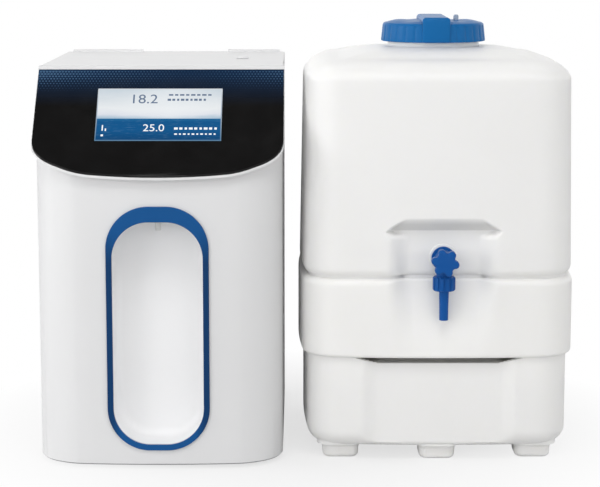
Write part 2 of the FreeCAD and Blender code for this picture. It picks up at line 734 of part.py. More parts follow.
def control_board():
    """Circuit board on four standoffs behind the display, with its larger components."""
    near = HEAD_SEAT_DEPTH + DISPLAY_THICKNESS + BOARD_STANDOFF
    board = board_block(BOARD_WIDTH / 2.0, BOARD_LENGTH / 2.0, near, near + BOARD_THICKNESS)
    pieces = [board]
    for side_x in (-1, 1):
        for side_y in (-1, 1):
            x = side_x * (SCREEN_WIDTH / 2.0 - BOARD_STANDOFF_INSET)
            y = SCREEN_CENTRE + side_y * (SCREEN_LENGTH / 2.0 - BOARD_STANDOFF_INSET)
            pieces.append(on_slope(rod(BOARD_STANDOFF_RADIUS, BOARD_STANDOFF, point(x, y, -near))))
    back = near + BOARD_THICKNESS
    y0 = SCREEN_CENTRE - BOARD_PART_LENGTH / 2.0
    for place, share in ((-1, 1.0), (0, 0.65), (1, 0.4)):
        half = BOARD_PART_WIDTH * share / 2.0
        x = place * BOARD_PART_PITCH
        pieces.append(on_slope(box(x - half, x + half, y0, y0 + BOARD_PART_LENGTH,
                                   -back - BOARD_PART_HEIGHT, -back)))
    return fuse(*pieces)


# ================================================================ lid, bridge and hinge
def hinge_runs():
    """Knuckles along both hinges as (start x, end x, moves with the lid)."""
    runs = []
    for start, length in ((LEFT_HINGE_START, LEFT_HINGE_LENGTH), (RIGHT_HINGE_START, RIGHT_HINGE_LENGTH)):
        third = length / 3.0
        for i in range(3):
            runs.append((start + i * third, start + (i + 1) * third, i == 1))
    return runs


def knuckle(x0, x1, radius):
    return rod(radius, x1 - x0, point(x0, HINGE_Y, HINGE_Z), X)


def with_knuckles(plate, moving):
    """Cuts the other leaf's knuckles out of a plate and adds its own, bored for the pin."""
    pin_fit = HINGE_PIN_FIT if moving else 0.0
    own = []
    for x0, x1, moves in hinge_runs():
        if moves == moving:
            ends = KNUCKLE_GAP / 2.0 if moving else 0.0
            own.append(knuckle(x0 + ends, x1 - ends, KNUCKLE_RADIUS))
        else:
            ends = 0.0 if moving else KNUCKLE_GAP / 2.0
            plate = plate.cut(knuckle(x0 - KNUCKLE_GAP + ends, x1 + KNUCKLE_GAP - ends,
                                      KNUCKLE_RADIUS + KNUCKLE_GAP))
    leaf = fuse(plate, *own)
    for x0, x1, _ in hinge_runs():
        leaf = leaf.cut(knuckle(x0 - 1.0, x1 + 1.0, HINGE_PIN_RADIUS + pin_fit))
    return leaf


def top_lid():
    rest = SHELL_TOP + LID_REST_GAP
    zone = box(-FAR, FAR, LID_FRONT, HINGE_Y - LID_GAP, 0, FAR)
    inner_zone = box(-FAR, FAR, LID_FRONT + CABINET_WALL, FAR, 0, CABINET_TOP - LID_THICKNESS)
    lid = cabinet_block(0.0, rest, CABINET_TOP).common(zone)
    lid = lid.cut(cabinet_block(CABINET_WALL, 0, CABINET_TOP).common(inner_zone))
    plug_hole = rod(PLUG_STEM_RADIUS + PLUG_FIT, LID_THICKNESS * 3.0,
                    lid_plug_place() - Z * LID_THICKNESS * 2.0)
    return with_knuckles(lid.cut(plug_hole), True)


def rear_bridge():
    zone = box(-FAR, FAR, HINGE_Y + LID_GAP, FAR, 0, FAR)
    bridge = cabinet_block(0.0, SHELL_TOP, CABINET_TOP).common(zone)
    hollow = cabinet_block(CABINET_WALL, SHELL_TOP - 1.0, CABINET_TOP - LID_THICKNESS)
    return with_knuckles(bridge.cut(hollow), False)


def hinge_pins():
    pins = []
    for start, length in ((LEFT_HINGE_START, LEFT_HINGE_LENGTH), (RIGHT_HINGE_START, RIGHT_HINGE_LENGTH)):
        pins.append(knuckle(start, start + length, HINGE_PIN_RADIUS))
    return Part.makeCompound(pins)


def lid_plug_place():
    return point(RIGHT_SIDE - PLUG_FROM_SIDE, CABINET_FRONT + PLUG_FROM_FRONT, CABINET_TOP)


def lid_plug():
    outline = [(0, -PLUG_REACH), (PLUG_STEM_RADIUS - PLUG_EDGE, -PLUG_REACH),
               (PLUG_STEM_RADIUS, PLUG_EDGE - PLUG_REACH), (PLUG_STEM_RADIUS, SET_GAP),
               (PLUG_HEAD_RADIUS, SET_GAP), (PLUG_HEAD_RADIUS, PLUG_HEAD - PLUG_EDGE),
               (PLUG_HEAD_RADIUS - PLUG_EDGE, PLUG_HEAD), (0, PLUG_HEAD)]
    return turned(outline, lid_plug_place())


# ================================================================ dispensing niche
def niche_liner():
    """White tub behind the front cover, with rounded inner corners and a hole for the nozzle."""
    back = CABINET_FRONT + NICHE_DEPTH
    hollow = niche_block(0.0, NICHE_BOTTOM, NICHE_TOP, HOOD_FRONT, back)
    hollow = hollow.makeFillet(NICHE_BACK_FILLET, edges_at_depth(hollow, back))
    outer_back = back + NICHE_WALL
    outer = niche_block(NICHE_WALL, NICHE_BOTTOM - NICHE_WALL, NICHE_TOP + NICHE_WALL, HOOD_FRONT, outer_back)
    outer = outer.makeFillet(NICHE_BACK_FILLET + NICHE_WALL, edges_at_depth(outer, outer_back))
    inside_cover = cabinet_block(CABINET_WALL, 0.0, CABINET_TOP)
    tub = outer.cut(hollow).common(inside_cover)
    return tub.cut(rod(NOZZLE_RADIUS, NICHE_WALL * 4.0, nozzle_place() - Z * NICHE_WALL * 2.0))


def edges_at_depth(solid, y):
    return [edge for edge in solid.Edges
            if abs(edge.BoundBox.YMin - y) < 1e-4 and abs(edge.BoundBox.YMax - y) < 1e-4]


def niche_frame():
    """Blue frame on the bowed front; its top hangs over the opening as a visor."""
    inner_top = NICHE_TOP - VISOR_DROP
    back = CABINET_FRONT + NICHE_DEPTH
    outline = niche_block(FRAME_BORDER, NICHE_BOTTOM - FRAME_BORDER, NICHE_TOP + FRAME_BORDER,
                          HOOD_FRONT - FAR, back)
    opening = niche_block(0.0, NICHE_BOTTOM, inner_top, HOOD_FRONT - FAR, back)
    proud = cabinet_block(-FRAME_PROUD, SKIRT_Z, SHELL_TOP).cut(cabinet_block(0.0, SKIRT_Z, SHELL_TOP))
    return proud.common(outline).cut(opening)


def nozzle_place():
    return point(CABINET_X, CABINET_FRONT + NOZZLE_FROM_FRONT, NICHE_TOP)


def dispense_nozzle():
    flange = NICHE_WALL
    outline = [(NOZZLE_BORE, -NOZZLE_BELOW), (NOZZLE_TIP_RADIUS, -NOZZLE_BELOW),
               (NOZZLE_TIP_RADIUS + 1.0, -NOZZLE_BELOW * 0.5), (NOZZLE_RADIUS - 0.5, -NOZZLE_BELOW * 0.4),
               (NOZZLE_RADIUS, -NOZZLE_FLANGE), (NOZZLE_RADIUS, flange),
               (NOZZLE_RADIUS + NOZZLE_FLANGE, flange),
               (NOZZLE_RADIUS + NOZZLE_FLANGE, flange + 2.0), (NOZZLE_RADIUS, flange + 2.0),
               (NOZZLE_RADIUS, NOZZLE_ABOVE), (NOZZLE_BORE, NOZZLE_ABOVE)]
    return turned(outline, nozzle_place())


def final_filter():
    """Capsule filter that stands on the nozzle's head."""
    base = nozzle_place() + Z * NOZZLE_ABOVE
    neck = FILTER_NECK_RADIUS
    shoulder = FILTER_SHOULDER
    outline = [(0, 0), (neck, 0), (neck, shoulder * 0.5), (FILTER_RADIUS - shoulder * 0.5, shoulder),
               (FILTER_RADIUS, shoulder * 1.6), (FILTER_RADIUS, FILTER_HEIGHT - shoulder),
               (FILTER_RADIUS - shoulder * 0.7, FILTER_HEIGHT - shoulder * 0.3),
               (neck, FILTER_HEIGHT), (0, FILTER_HEIGHT)]
    return turned(outline, base)


# ================================================================ service bay
def deck_span():
    """Deck's edges as (x0, x1, y0, y1)."""
    half = CABINET_WIDTH / 2.0 - CABINET_WALL - DECK_GAP
    return (CABINET_X - half, CABINET_X + half, CABINET_FRONT + DECK_FROM_FRONT, INNER_BACK - DECK_GAP)


def cartridge_places():
    """Every upright cartridge as name: (place on the deck, radius)."""
    front = CABINET_FRONT + FRONT_ROW
    back = CABINET_FRONT + BACK_ROW
    return {
        "pretreatment_cartridge": (point(LEFT_SIDE + PURIFIER_FROM_SIDE, front, DECK_TOP), PURIFIER_RADIUS),
        "polishing_cartridge": (point(RIGHT_SIDE - PURIFIER_FROM_SIDE, front, DECK_TOP), PURIFIER_RADIUS),
        "membrane_housing_left": (point(CABINET_X - MEMBRANE_FROM_MIDDLE, back, DECK_TOP), MEMBRANE_RADIUS),
        "membrane_housing_right": (point(CABINET_X + MEMBRANE_FROM_MIDDLE, back, DECK_TOP), MEMBRANE_RADIUS),
        "lamp_chamber": (point(RIGHT_SIDE - LAMP_FROM_SIDE, back, DECK_TOP), LAMP_RADIUS),
    }


def cartridge_deck():
    """Shelf on four posts, with a locating cup round each cartridge's foot."""
    x0, x1, y0, y1 = deck_span()
    corner = CABINET_BACK_CORNER + DECK_GAP
    plate = box(x0, x1, y0, y1, DECK_TOP - DECK_THICKNESS, DECK_TOP)
    plate = plate.makeFillet(corner, upright_edges(plate, lambda p: True))
    pieces = [plate]
    for x in (x0 + DECK_POST_INSET, x1 - DECK_POST_INSET):
        for y in (y0 + DECK_POST_INSET, y1 - DECK_POST_INSET):
            height = DECK_TOP - DECK_THICKNESS - TRAY_FLOOR
            pieces.append(rod(DECK_POST_RADIUS, height, point(x, y, TRAY_FLOOR)))
    for place, radius in cartridge_places().values():
        inner = radius + CUP_FIT
        pieces.append(ring(inner + CUP_WALL, inner, CUP_HEIGHT, place))
    return fuse(*pieces)


def cartridge(place, radius):
    """Sealed pressure vessel: rounded foot, straight barrel, ribbed head with two port bosses."""
    height = HEAD_TOP - DECK_TOP
    shoulder = height - HEAD_HEIGHT
    foot = VESSEL_FOOT
    waist = radius - VESSEL_GROOVE
    outline = [(0, 0), (radius - foot, 0), (radius, foot), (radius, shoulder - VESSEL_GROOVE * 1.3),
               (waist, shoulder - VESSEL_GROOVE), (waist, shoulder), (radius, shoulder + VESSEL_GROOVE / 3.0),
               (radius, height - foot), (radius - foot, height), (0, height)]
    vessel = turned(outline, place)
    grooves = []
    for i in range(VESSEL_RIBS):
        angle = 2.0 * math.pi * i / VESSEL_RIBS
        spot = place + point(radius * math.cos(angle), radius * math.sin(angle), shoulder + VESSEL_FOOT)
        grooves.append(rod(radius * 0.07, HEAD_HEIGHT, spot))
    return vessel.cut(grooves)


def port_spots():
    """Head ports as name: place, each on its cartridge's head."""
    places = cartridge_places()
    reach = 0.45

    def spot(name, toward):
        place, radius = places[name]
        target, _ = places[toward]
        aim = point(target.x - place.x, target.y - place.y, 0.0).normalize()
        return point(place.x, place.y, HEAD_TOP) + aim * radius * reach

    links = [("pretreatment_cartridge", "membrane_housing_left"),
             ("membrane_housing_left", "membrane_housing_right"),
             ("membrane_housing_right", "polishing_cartridge"),
             ("polishing_cartridge", "lamp_chamber")]
    return [(spot(a, b), spot(b, a)) for a, b in links]


def elbow(place, aim):
    """Push-in elbow: upright stem and a barrel that points along aim."""
    stem = rod(ELBOW_RADIUS, ELBOW_HEIGHT, place)
    centre = place + Z * (ELBOW_HEIGHT - ELBOW_RADIUS)
    barrel = rod(ELBOW_RADIUS - 0.5, ELBOW_RADIUS * 1.6, centre, aim)
    socket = rod(TUBE_RADIUS, ELBOW_RADIUS, centre + aim * ELBOW_RADIUS * 0.9, aim)
    return fuse(stem, barrel).cut(socket)


def head_elbows():
    elbows = []
    for start, end in port_spots():
        aim = (end - start).normalize()
        elbows.append(elbow(start, aim))
        elbows.append(elbow(end, aim * -1))
    return Part.makeCompound(elbows)


def head_tubes():
    """Straight tubes from elbow to elbow over the heads."""
    tubes = []
    for start, end in port_spots():
        span = end - start
        aim = point(span.x, span.y, span.z).normalize()
        base = start + Z * (ELBOW_HEIGHT - ELBOW_RADIUS) + aim * ELBOW_RADIUS * 0.9
        length = span.Length - 2.0 * ELBOW_RADIUS * 0.9
        tubes.append(ring(TUBE_RADIUS, TUBE_RADIUS - TUBE_WALL, length, base, aim))
    return Part.makeCompound(tubes)


def pump_place():
    return point(PUMP_X, CABINET_FRONT + PUMP_FROM_FRONT, TRAY_Z + PUMP_AXIS_HEIGHT)


def booster_pump_head():
    """Diaphragm pump head with its rounded-square cover and two ports, facing the front."""
    centre = pump_place()
    half = PUMP_HEAD_WIDTH / 2.0
    head = box(centre.x - half, centre.x + half, centre.y - PUMP_HEAD_LENGTH, centre.y,
               centre.z - half, centre.z + half)
    lengthwise = [edge for edge in head.Edges if abs(edge.BoundBox.YLength - PUMP_HEAD_LENGTH) < 1e-6]
    head = head.makeFillet(PUMP_HEAD_CORNER, lengthwise)
    ports = []
    for side in (-1, 1):
        base = point(centre.x + side * (half - PUMP_PORT_OVERLAP), centre.y - PUMP_HEAD_LENGTH / 2.0, centre.z)
        ports.append(rod(PUMP_PORT_RADIUS, PUMP_PORT_LENGTH, base, X * side))
    cover_front = centre.y - PUMP_HEAD_LENGTH - PUMP_COVER_THICKNESS
    cover = rod(half * 0.62, PUMP_COVER_THICKNESS, point(centre.x, cover_front, centre.z), Y)
    return fuse(head, cover, *ports)


def booster_pump_motor():
    """Round motor behind the head, on a saddle that stands on the tray."""
    centre = pump_place()
    body = rod(PUMP_MOTOR_RADIUS, PUMP_MOTOR_LENGTH, centre, Y)
    back = point(centre.x, centre.y + PUMP_MOTOR_LENGTH, centre.z)
    end_bell = rod(PUMP_MOTOR_RADIUS * 0.45, PUMP_END_BELL, back, Y)
    outer = PUMP_MOTOR_RADIUS * 0.75
    inner = outer - SADDLE_WALL
    saddle = box(centre.x - outer, centre.x + outer, centre.y + SADDLE_INSET,
                 centre.y + PUMP_MOTOR_LENGTH - SADDLE_INSET, TRAY_FLOOR, centre.z)
    tunnel_top = centre.z - PUMP_MOTOR_RADIUS - SADDLE_FLOOR / 4.0
    tunnel = box(centre.x - inner, centre.x + inner, centre.y, centre.y + PUMP_MOTOR_LENGTH,
                 TRAY_FLOOR + SADDLE_FLOOR, tunnel_top)
    return fuse(body, end_bell, saddle.cut(tunnel))


def power_supply():
    """Vented metal box with its terminal strip."""
    x0 = SUPPLY_X - SUPPLY_WIDTH / 2.0
    x1 = x0 + SUPPLY_WIDTH
    y0 = CABINET_FRONT + SUPPLY_FROM_FRONT
    top = TRAY_FLOOR + SUPPLY_HEIGHT
    case = box(x0, x1, y0, y0 + SUPPLY_LENGTH, TRAY_FLOOR, top)
    notch = box(x0 + SUPPLY_NOTCH_INSET, x1 - SUPPLY_NOTCH_INSET, y0 - 1.0, y0 + SUPPLY_NOTCH_DEPTH,
                TRAY_FLOOR + SUPPLY_NOTCH_Z, top + 1.0)
    slots = []
    for i in range(SUPPLY_SLOTS):
        y = y0 + SUPPLY_SLOT_FIRST + i * SUPPLY_SLOT_PITCH
        slots.append(box(x0 + SUPPLY_SLOT_INSET, x1 - SUPPLY_SLOT_INSET, y, y + SUPPLY_SLOT_WIDTH,
                         top - SUPPLY_SLOT_DEPTH, top + 1.0))
    return case.cut([notch] + slots)


def recirculation_pump():
    """Small upright pump: ported head on the tray, round motor on top."""
    base = point(LOOP_PUMP_X, CABINET_FRONT + LOOP_PUMP_FROM_FRONT, TRAY_FLOOR)
    half = LOOP_PUMP_RADIUS + LOOP_PUMP_MARGIN
    head = box(base.x - half, base.x + half, base.y - half, base.y + half, base.z, base.z + LOOP_PUMP_HEAD)
    head = head.makeFillet(LOOP_PUMP_CORNER, upright_edges(head, lambda p: True))
    motor = rod(LOOP_PUMP_RADIUS, LOOP_PUMP_HEIGHT - LOOP_PUMP_HEAD, base + Z * LOOP_PUMP_HEAD)
    ports = []
    for side in (-1, 1):
        seat = base + point(0, side * (half - LOOP_PUMP_PORT_OVERLAP), LOOP_PUMP_HEAD / 2.0)
        ports.append(rod(LOOP_PUMP_PORT_RADIUS, LOOP_PUMP_PORT_LENGTH, seat, Y * side))
    return fuse(head, motor, *ports)


def manifold_centre():
    return point(CABINET_X, CABINET_FRONT + MANIFOLD_FROM_FRONT, TRAY_FLOOR)


def valve_manifold():
    """Drilled block that the valves and the cell screw into."""
    centre = manifold_centre()
    half_width = MANIFOLD_WIDTH / 2.0
    half_length = MANIFOLD_LENGTH / 2.0
    block = box(centre.x - half_width, centre.x + half_width, centre.y - half_length, centre.y + half_length,
                centre.z, centre.z + MANIFOLD_HEIGHT)
    ports = [rod(MANIFOLD_PORT_RADIUS, MANIFOLD_PORT_LENGTH,
                 point(centre.x + side * half_width, centre.y, centre.z + MANIFOLD_HEIGHT / 2.0), X * side)
             for side in (-1, 1)]
    return fuse(block, *ports)


def valve_xs():
    first = -VALVE_PITCH * (VALVE_COUNT - 1) / 2.0
    return [CABINET_X + first + i * VALVE_PITCH for i in range(VALVE_COUNT)]


def solenoid_valves():
    """Coils on their cores, in a row on the manifold."""
    centre = manifold_centre()
    valves = []
    for x in valve_xs():
        base = point(x, centre.y, centre.z + MANIFOLD_HEIGHT)
        stem = VALVE_RADIUS * 0.6
        coil_top = VALVE_HEIGHT - VALVE_CROWN
        outline = [(0, 0), (stem, 0), (stem, VALVE_SEAT), (VALVE_RADIUS, VALVE_SEAT), (VALVE_RADIUS, coil_top),
                   (stem, coil_top), (stem * 0.7, VALVE_HEIGHT), (0, VALVE_HEIGHT)]
        valves.append(turned(outline, base))
    return Part.makeCompound(valves)


def conductivity_cell():
    """Probe screwed into the manifold's back face."""
    centre = manifold_centre()
    base = point(centre.x, centre.y + MANIFOLD_LENGTH / 2.0, centre.z + MANIFOLD_HEIGHT / 2.0)
    tip = CELL_RADIUS * 0.6
    outline = [(0, 0), (CELL_RADIUS, 0), (CELL_RADIUS, CELL_LENGTH * 0.6), (tip, CELL_LENGTH * 0.7),
               (tip, CELL_LENGTH), (0, CELL_LENGTH)]
    return turned(outline, base, Y)


# ================================================================ rear fittings
def fan_centre():
    return point(FAN_X, INNER_BACK - FAN_THICKNESS, FAN_Z)


def fan_frame():
    """Square frame with a round duct and a motor cup on four struts at the inner side."""
    centre = fan_centre()
    half = FAN_SIZE / 2.0
    frame = box(centre.x - half, centre.x + half, centre.y, centre.y + FAN_THICKNESS,
                centre.z - half, centre.z + half)
    lengthwise = [edge for edge in frame.Edges if abs(edge.BoundBox.YLength - FAN_THICKNESS) < 1e-6]
    frame = frame.makeFillet(FAN_CORNER, lengthwise)
    frame = frame.cut(rod(FAN_BORE_RADIUS, FAN_THICKNESS + 2.0, centre - Y, Y))
    strut_half = FAN_STRUT_WIDTH / 2.0
    cross = [box(centre.x - FAN_BORE_RADIUS - 1.0, centre.x + FAN_BORE_RADIUS + 1.0, centre.y,
                 centre.y + FAN_STRUT_THICKNESS, centre.z - strut_half, centre.z + strut_half),
             box(centre.x - strut_half, centre.x + strut_half, centre.y, centre.y + FAN_STRUT_THICKNESS,
                 centre.z - FAN_BORE_RADIUS - 1.0, centre.z + FAN_BORE_RADIUS + 1.0)]
    cup = rod(FAN_HUB_RADIUS, FAN_STRUT_THICKNESS, centre, Y)
    shaft = rod(FAN_SHAFT_RADIUS, FAN_THICKNESS - FAN_SHAFT_SHORT, centre, Y)
    return fuse(frame, cup, shaft, *cross)


def fan_rotor():
    """Hub cup with twisted blades, running on the frame's shaft."""
    centre = fan_centre()
    hub_start = FAN_STRUT_THICKNESS + FAN_HUB_GAP
    hub_length = FAN_THICKNESS - hub_start - FAN_HUB_SETBACK
    base = centre + Y * hub_start
    pieces = [rod(FAN_HUB_RADIUS, hub_length, base, Y)]
    for i in range(FAN_BLADES):
        blade = fan_blade(hub_length)
        blade.Placement = FreeCAD.Placement(base, FreeCAD.Rotation(Y, 360.0 * i / FAN_BLADES))
        pieces.append(blade)
    sweep = rod(FAN_BORE_RADIUS - FAN_TIP_GAP, FAN_THICKNESS, centre, Y)
    rotor = fuse(*pieces).common(sweep)
    return rotor.cut(rod(FAN_SHAFT_RADIUS + FAN_SHAFT_FIT, FAN_THICKNESS, base - Y, Y))


def fan_blade(axial):
    """One blade along +X, lofted through three sections that flatten towards the tip."""
    tip = FAN_BORE_RADIUS - FAN_TIP_GAP
    sections = []
    for share in (0.0, 0.5, 1.0):
        radius = FAN_HUB_RADIUS - 1.0 + share * (tip - FAN_HUB_RADIUS + 1.0)
        pitch = math.radians(52.0 - 20.0 * share)
        chord = (axial - FAN_HUB_SETBACK) / math.sin(pitch) * (1.0 - 0.12 * share)
        along = point(0, math.sin(pitch), math.cos(pitch)) * (chord / 2.0)
        across = point(0, -math.cos(pitch), math.sin(pitch)) * BLADE_HALF_THICKNESS
        middle = point(radius, axial / 2.0, 0)
        corners = [middle - along - across, middle + along - across,
                   middle + along + across, middle - along + across]
        sections.append(Part.makePolygon(corners + [corners[0]]))
    return Part.makeLoft(sections, True, True)


def fan_guard():
    """Wire guard outside the panel: rings on a cross, with four screw eyes."""
    centre = point(FAN_X, CABINET_BACK + GUARD_STANDOFF, FAN_Z)
    pieces = []
    for i in range(GUARD_RINGS):
        radius = FAN_BORE_RADIUS * (i + 1.0) / GUARD_RINGS
        pieces.append(ring(radius, radius - GUARD_WIRE, GUARD_WIRE, centre, Y))
    eye_offset = FAN_SIZE / 2.0 - FAN_SCREW_INSET
    for angle in (45.0, 135.0):
        length = eye_offset * math.sqrt(2.0)
        arm = box(-length, length, 0, GUARD_WIRE, -GUARD_WIRE / 2.0, GUARD_WIRE / 2.0)
        arm.Placement = FreeCAD.Placement(centre, FreeCAD.Rotation(Y, angle))
        pieces.append(arm)
    for side_x in (-1, 1):
        for side_z in (-1, 1):
            spot = centre + point(side_x * eye_offset, -GUARD_STANDOFF, side_z * eye_offset)
            pieces.append(rod(SCREW_RADIUS + GUARD_EYE_MARGIN, GUARD_STANDOFF + GUARD_WIRE, spot, Y))
    guard = fuse(*pieces)
    for place in rear_screw_places()[2:]:
        guard = guard.cut(rod(SCREW_SHANK_RADIUS, FAR, place - Y, Y))
    return guard


def cover_screws():
    """Pan-head screws of the inlet flange and of the fan guard."""
    seats = [INLET_FLANGE_THICKNESS] * 2 + [GUARD_STANDOFF + GUARD_WIRE] * 4
    screws = []
    for place, seat in zip(rear_screw_places(), seats):
        shank = seat + CABINET_WALL
        outline = [(0, -shank), (SCREW_SHANK_RADIUS, -shank), (SCREW_SHANK_RADIUS, 0), (SCREW_RADIUS, 0),
                   (SCREW_RADIUS - SCREW_EDGE, SCREW_HEAD), (0, SCREW_HEAD)]
        screws.append(turned(outline, place + Y * seat, Y))
    return Part.makeCompound(screws)


def port_places():
    """The bulkhead ports' places along X."""
    return [LEFT_SIDE + PORT_FROM_SIDE + i * PORT_PITCH for i in range(PORT_COUNT)]


def bulkhead_fitting(place):
    """Push-in fitting for 6.35 mm tube: flange outside the wall, barrel through it."""
    inside = PORT_BOSS_WALL + PORT_INSIDE
    snout = COLLET_RADIUS + COLLET_WALL
    tip = PORT_FLANGE_THICKNESS + PORT_SNOUT
    outline = [(0, -inside), (PORT_BARREL_RADIUS, -inside), (PORT_BARREL_RADIUS, 0), (PORT_FLANGE_RADIUS, 0),
               (PORT_FLANGE_RADIUS, PORT_FLANGE_THICKNESS), (snout, PORT_FLANGE_THICKNESS + FITTING_EDGE),
               (snout, tip - FITTING_EDGE), (snout - FITTING_EDGE, tip), (0, tip)]
    body = turned(outline, place, Y)
    mouth = place + Y * tip
    body = body.cut(rod(COLLET_RADIUS, COLLET_SEAT, mouth - Y * COLLET_SEAT, Y))
    return body.cut(rod(PORT_BORE, PORT_BORE_DEPTH, mouth - Y * PORT_BORE_DEPTH, Y))


def collet(place):
    """Release ring in the fitting's mouth."""
    seat = place + Y * (PORT_FLANGE_THICKNESS + PORT_SNOUT - COLLET_SEAT)
    return ring(COLLET_RADIUS - COLLET_FIT, PORT_BORE, COLLET_SEAT + COLLET_PROUD, seat, Y)


def bulkhead_nut(place, wall):
    """Hexagon nut against the wall's inner face."""
    base = place - Y * (wall + NUT_THICKNESS)
    return hexagon(NUT_ACROSS, NUT_THICKNESS, base, Y).cut(rod(PORT_BARREL_RADIUS, NUT_THICKNESS, base, Y))


def cabinet_port_spots():
    return [point(x, CABINET_BACK, PORT_Z) for x in port_places()]


def inlet_body(margin, y0, y1):
    half_width = INLET_CAVITY_WIDTH / 2.0 + INLET_WALL + margin
    half_height = INLET_CAVITY_HEIGHT / 2.0 + INLET_WALL + margin
    return box(INLET_X - half_width, INLET_X + half_width, y0, y1, INLET_Z - half_height, INLET_Z + half_height)


def mains_inlet():
    """Appliance inlet: screwed flange and a deep socket."""
    x = INLET_X
    outside = CABINET_BACK + INLET_FLANGE_THICKNESS
    floor = outside - INLET_CAVITY_DEPTH
    body = inlet_body(0.0, floor - INLET_WALL, outside)
    half_flange = INLET_FLANGE_WIDTH / 2.0
    flange = box(x - half_flange, x + half_flange, CABINET_BACK, outside,
                 INLET_Z - INLET_FLANGE_HEIGHT / 2.0, INLET_Z + INLET_FLANGE_HEIGHT / 2.0)
    half_width = INLET_CAVITY_WIDTH / 2.0
    half_height = INLET_CAVITY_HEIGHT / 2.0
    cavity = box(x - half_width, x + half_width, floor, outside, INLET_Z - half_height, INLET_Z + half_height)
    inlet = fuse(body, flange).cut(cavity)
    for place in rear_screw_places()[:2]:
        inlet = inlet.cut(rod(SCREW_SHANK_RADIUS, INLET_FLANGE_THICKNESS, place, Y))
    return inlet


def inlet_contacts():
    """Two live pins and the earth pin, standing on the socket's floor."""
    floor = CABINET_BACK + INLET_FLANGE_THICKNESS - INLET_CAVITY_DEPTH
    pins = []
    half_width = INLET_PIN_WIDTH / 2.0
    half_height = INLET_PIN_HEIGHT / 2.0
    for side, rise in ((-1, INLET_PIN_RISE), (1, INLET_PIN_RISE), (0, INLET_EARTH_RISE)):
        x = INLET_X + side * INLET_PIN_OFFSET
        z = INLET_Z + rise
        pins.append(box(x - half_width, x + half_width, floor, floor + INLET_PIN_LENGTH,
                        z - half_height, z + half_height))
    return Part.makeCompound(pins)


def switch_body(margin, y0, y1):
    half_width = SWITCH_WIDTH / 2.0 + margin
    half_height = SWITCH_HEIGHT / 2.0 + margin
    x = SWITCH_X
    return box(x - half_width, x + half_width, y0, y1, SWITCH_Z - half_height, SWITCH_Z + half_height)


def rocker_pivot():
    """Middle of the rocker's pins."""
    return point(SWITCH_X, CABINET_BACK + SWITCH_FLANGE - ROCKER_PIVOT_DEPTH, SWITCH_Z)


def rocker_window():
    half_width = SWITCH_WIDTH / 2.0 - SWITCH_WALL
    half_height = SWITCH_HEIGHT / 2.0 - SWITCH_WALL
    x = SWITCH_X
    return box(x - half_width, x + half_width, CABINET_BACK - SWITCH_DEPTH + SWITCH_WALL,
               CABINET_BACK + SWITCH_FLANGE, SWITCH_Z - half_height, SWITCH_Z + half_height)


def power_switch_frame():
    body = switch_body(0.0, CABINET_BACK - SWITCH_DEPTH, CABINET_BACK + SWITCH_FLANGE)
    flange = switch_body(SWITCH_FLANGE_MARGIN, CABINET_BACK, CABINET_BACK + SWITCH_FLANGE)
    frame = fuse(body, flange).cut(rocker_window())
    reach = SWITCH_WIDTH / 2.0 - SWITCH_WALL + ROCKER_HOLE_SEAT
    hole = rod(ROCKER_PIN_RADIUS + ROCKER_PIN_FIT, 2.0 * reach, rocker_pivot() - X * reach, X)
    return frame.cut(hole)


def power_rocker():
    """Shallow V-topped rocker on two stub pins, resting with its upper half pressed in."""
    pivot = rocker_pivot()
    half_width = SWITCH_WIDTH / 2.0 - SWITCH_WALL - ROCKER_GAP
    half_height = SWITCH_HEIGHT / 2.0 - SWITCH_WALL - ROCKER_END_GAP
    rise = ROCKER_PIVOT_DEPTH + ROCKER_HORN
    dip = ROCKER_PIVOT_DEPTH + ROCKER_DIP
    cheek = dip - ROCKER_CHEEK
    outline = [(-ROCKER_BACK, -half_height * 0.5), (cheek, -half_height), (rise, -half_height), (dip, 0.0),
               (rise, half_height), (cheek, half_height), (-ROCKER_BACK, half_height * 0.5)]
    rocker = profile_yz(outline, -half_width, half_width)
    pin_reach = SWITCH_WIDTH / 2.0 - SWITCH_WALL + ROCKER_PIN_SEAT
    pin = rod(ROCKER_PIN_RADIUS, 2.0 * pin_reach, X * -pin_reach, X)
    rocker = fuse(rocker, pin)
    rocker.Placement = FreeCAD.Placement(pivot, FreeCAD.Rotation(X, ROCKER_ANGLE))
    return rocker


# ================================================================ storage tank
def upper_body(inset):
    bottom = BAND_TOP + GROOVE_HEIGHT
    block = tank_block(UPPER_INSET + inset, bottom, TANK_TOP - inset)
    block = block.makeFillet(SHOULDER_FILLET - inset, edges_at_height(block, TANK_TOP - inset))
    return block.makeFillet(GROOVE_INSET - UPPER_INSET - 0.5, edges_at_height(block, bottom))


def lower_body(inset):
    block = tank_block(LOWER_INSET + inset, BELLY_HEIGHT + inset, BAND_BOTTOM)
    return block.makeFillet(LOWER_FILLET - inset, edges_at_height(block, BELLY_HEIGHT + inset))


def middle_band():
    block = tank_block(0.0, BAND_BOTTOM, BAND_TOP)
    block = block.makeFillet(BAND_FILLET, edges_at_height(block, BAND_BOTTOM))
    return block.makeFillet(BAND_TOP_FILLET, edges_at_height(block, BAND_TOP))


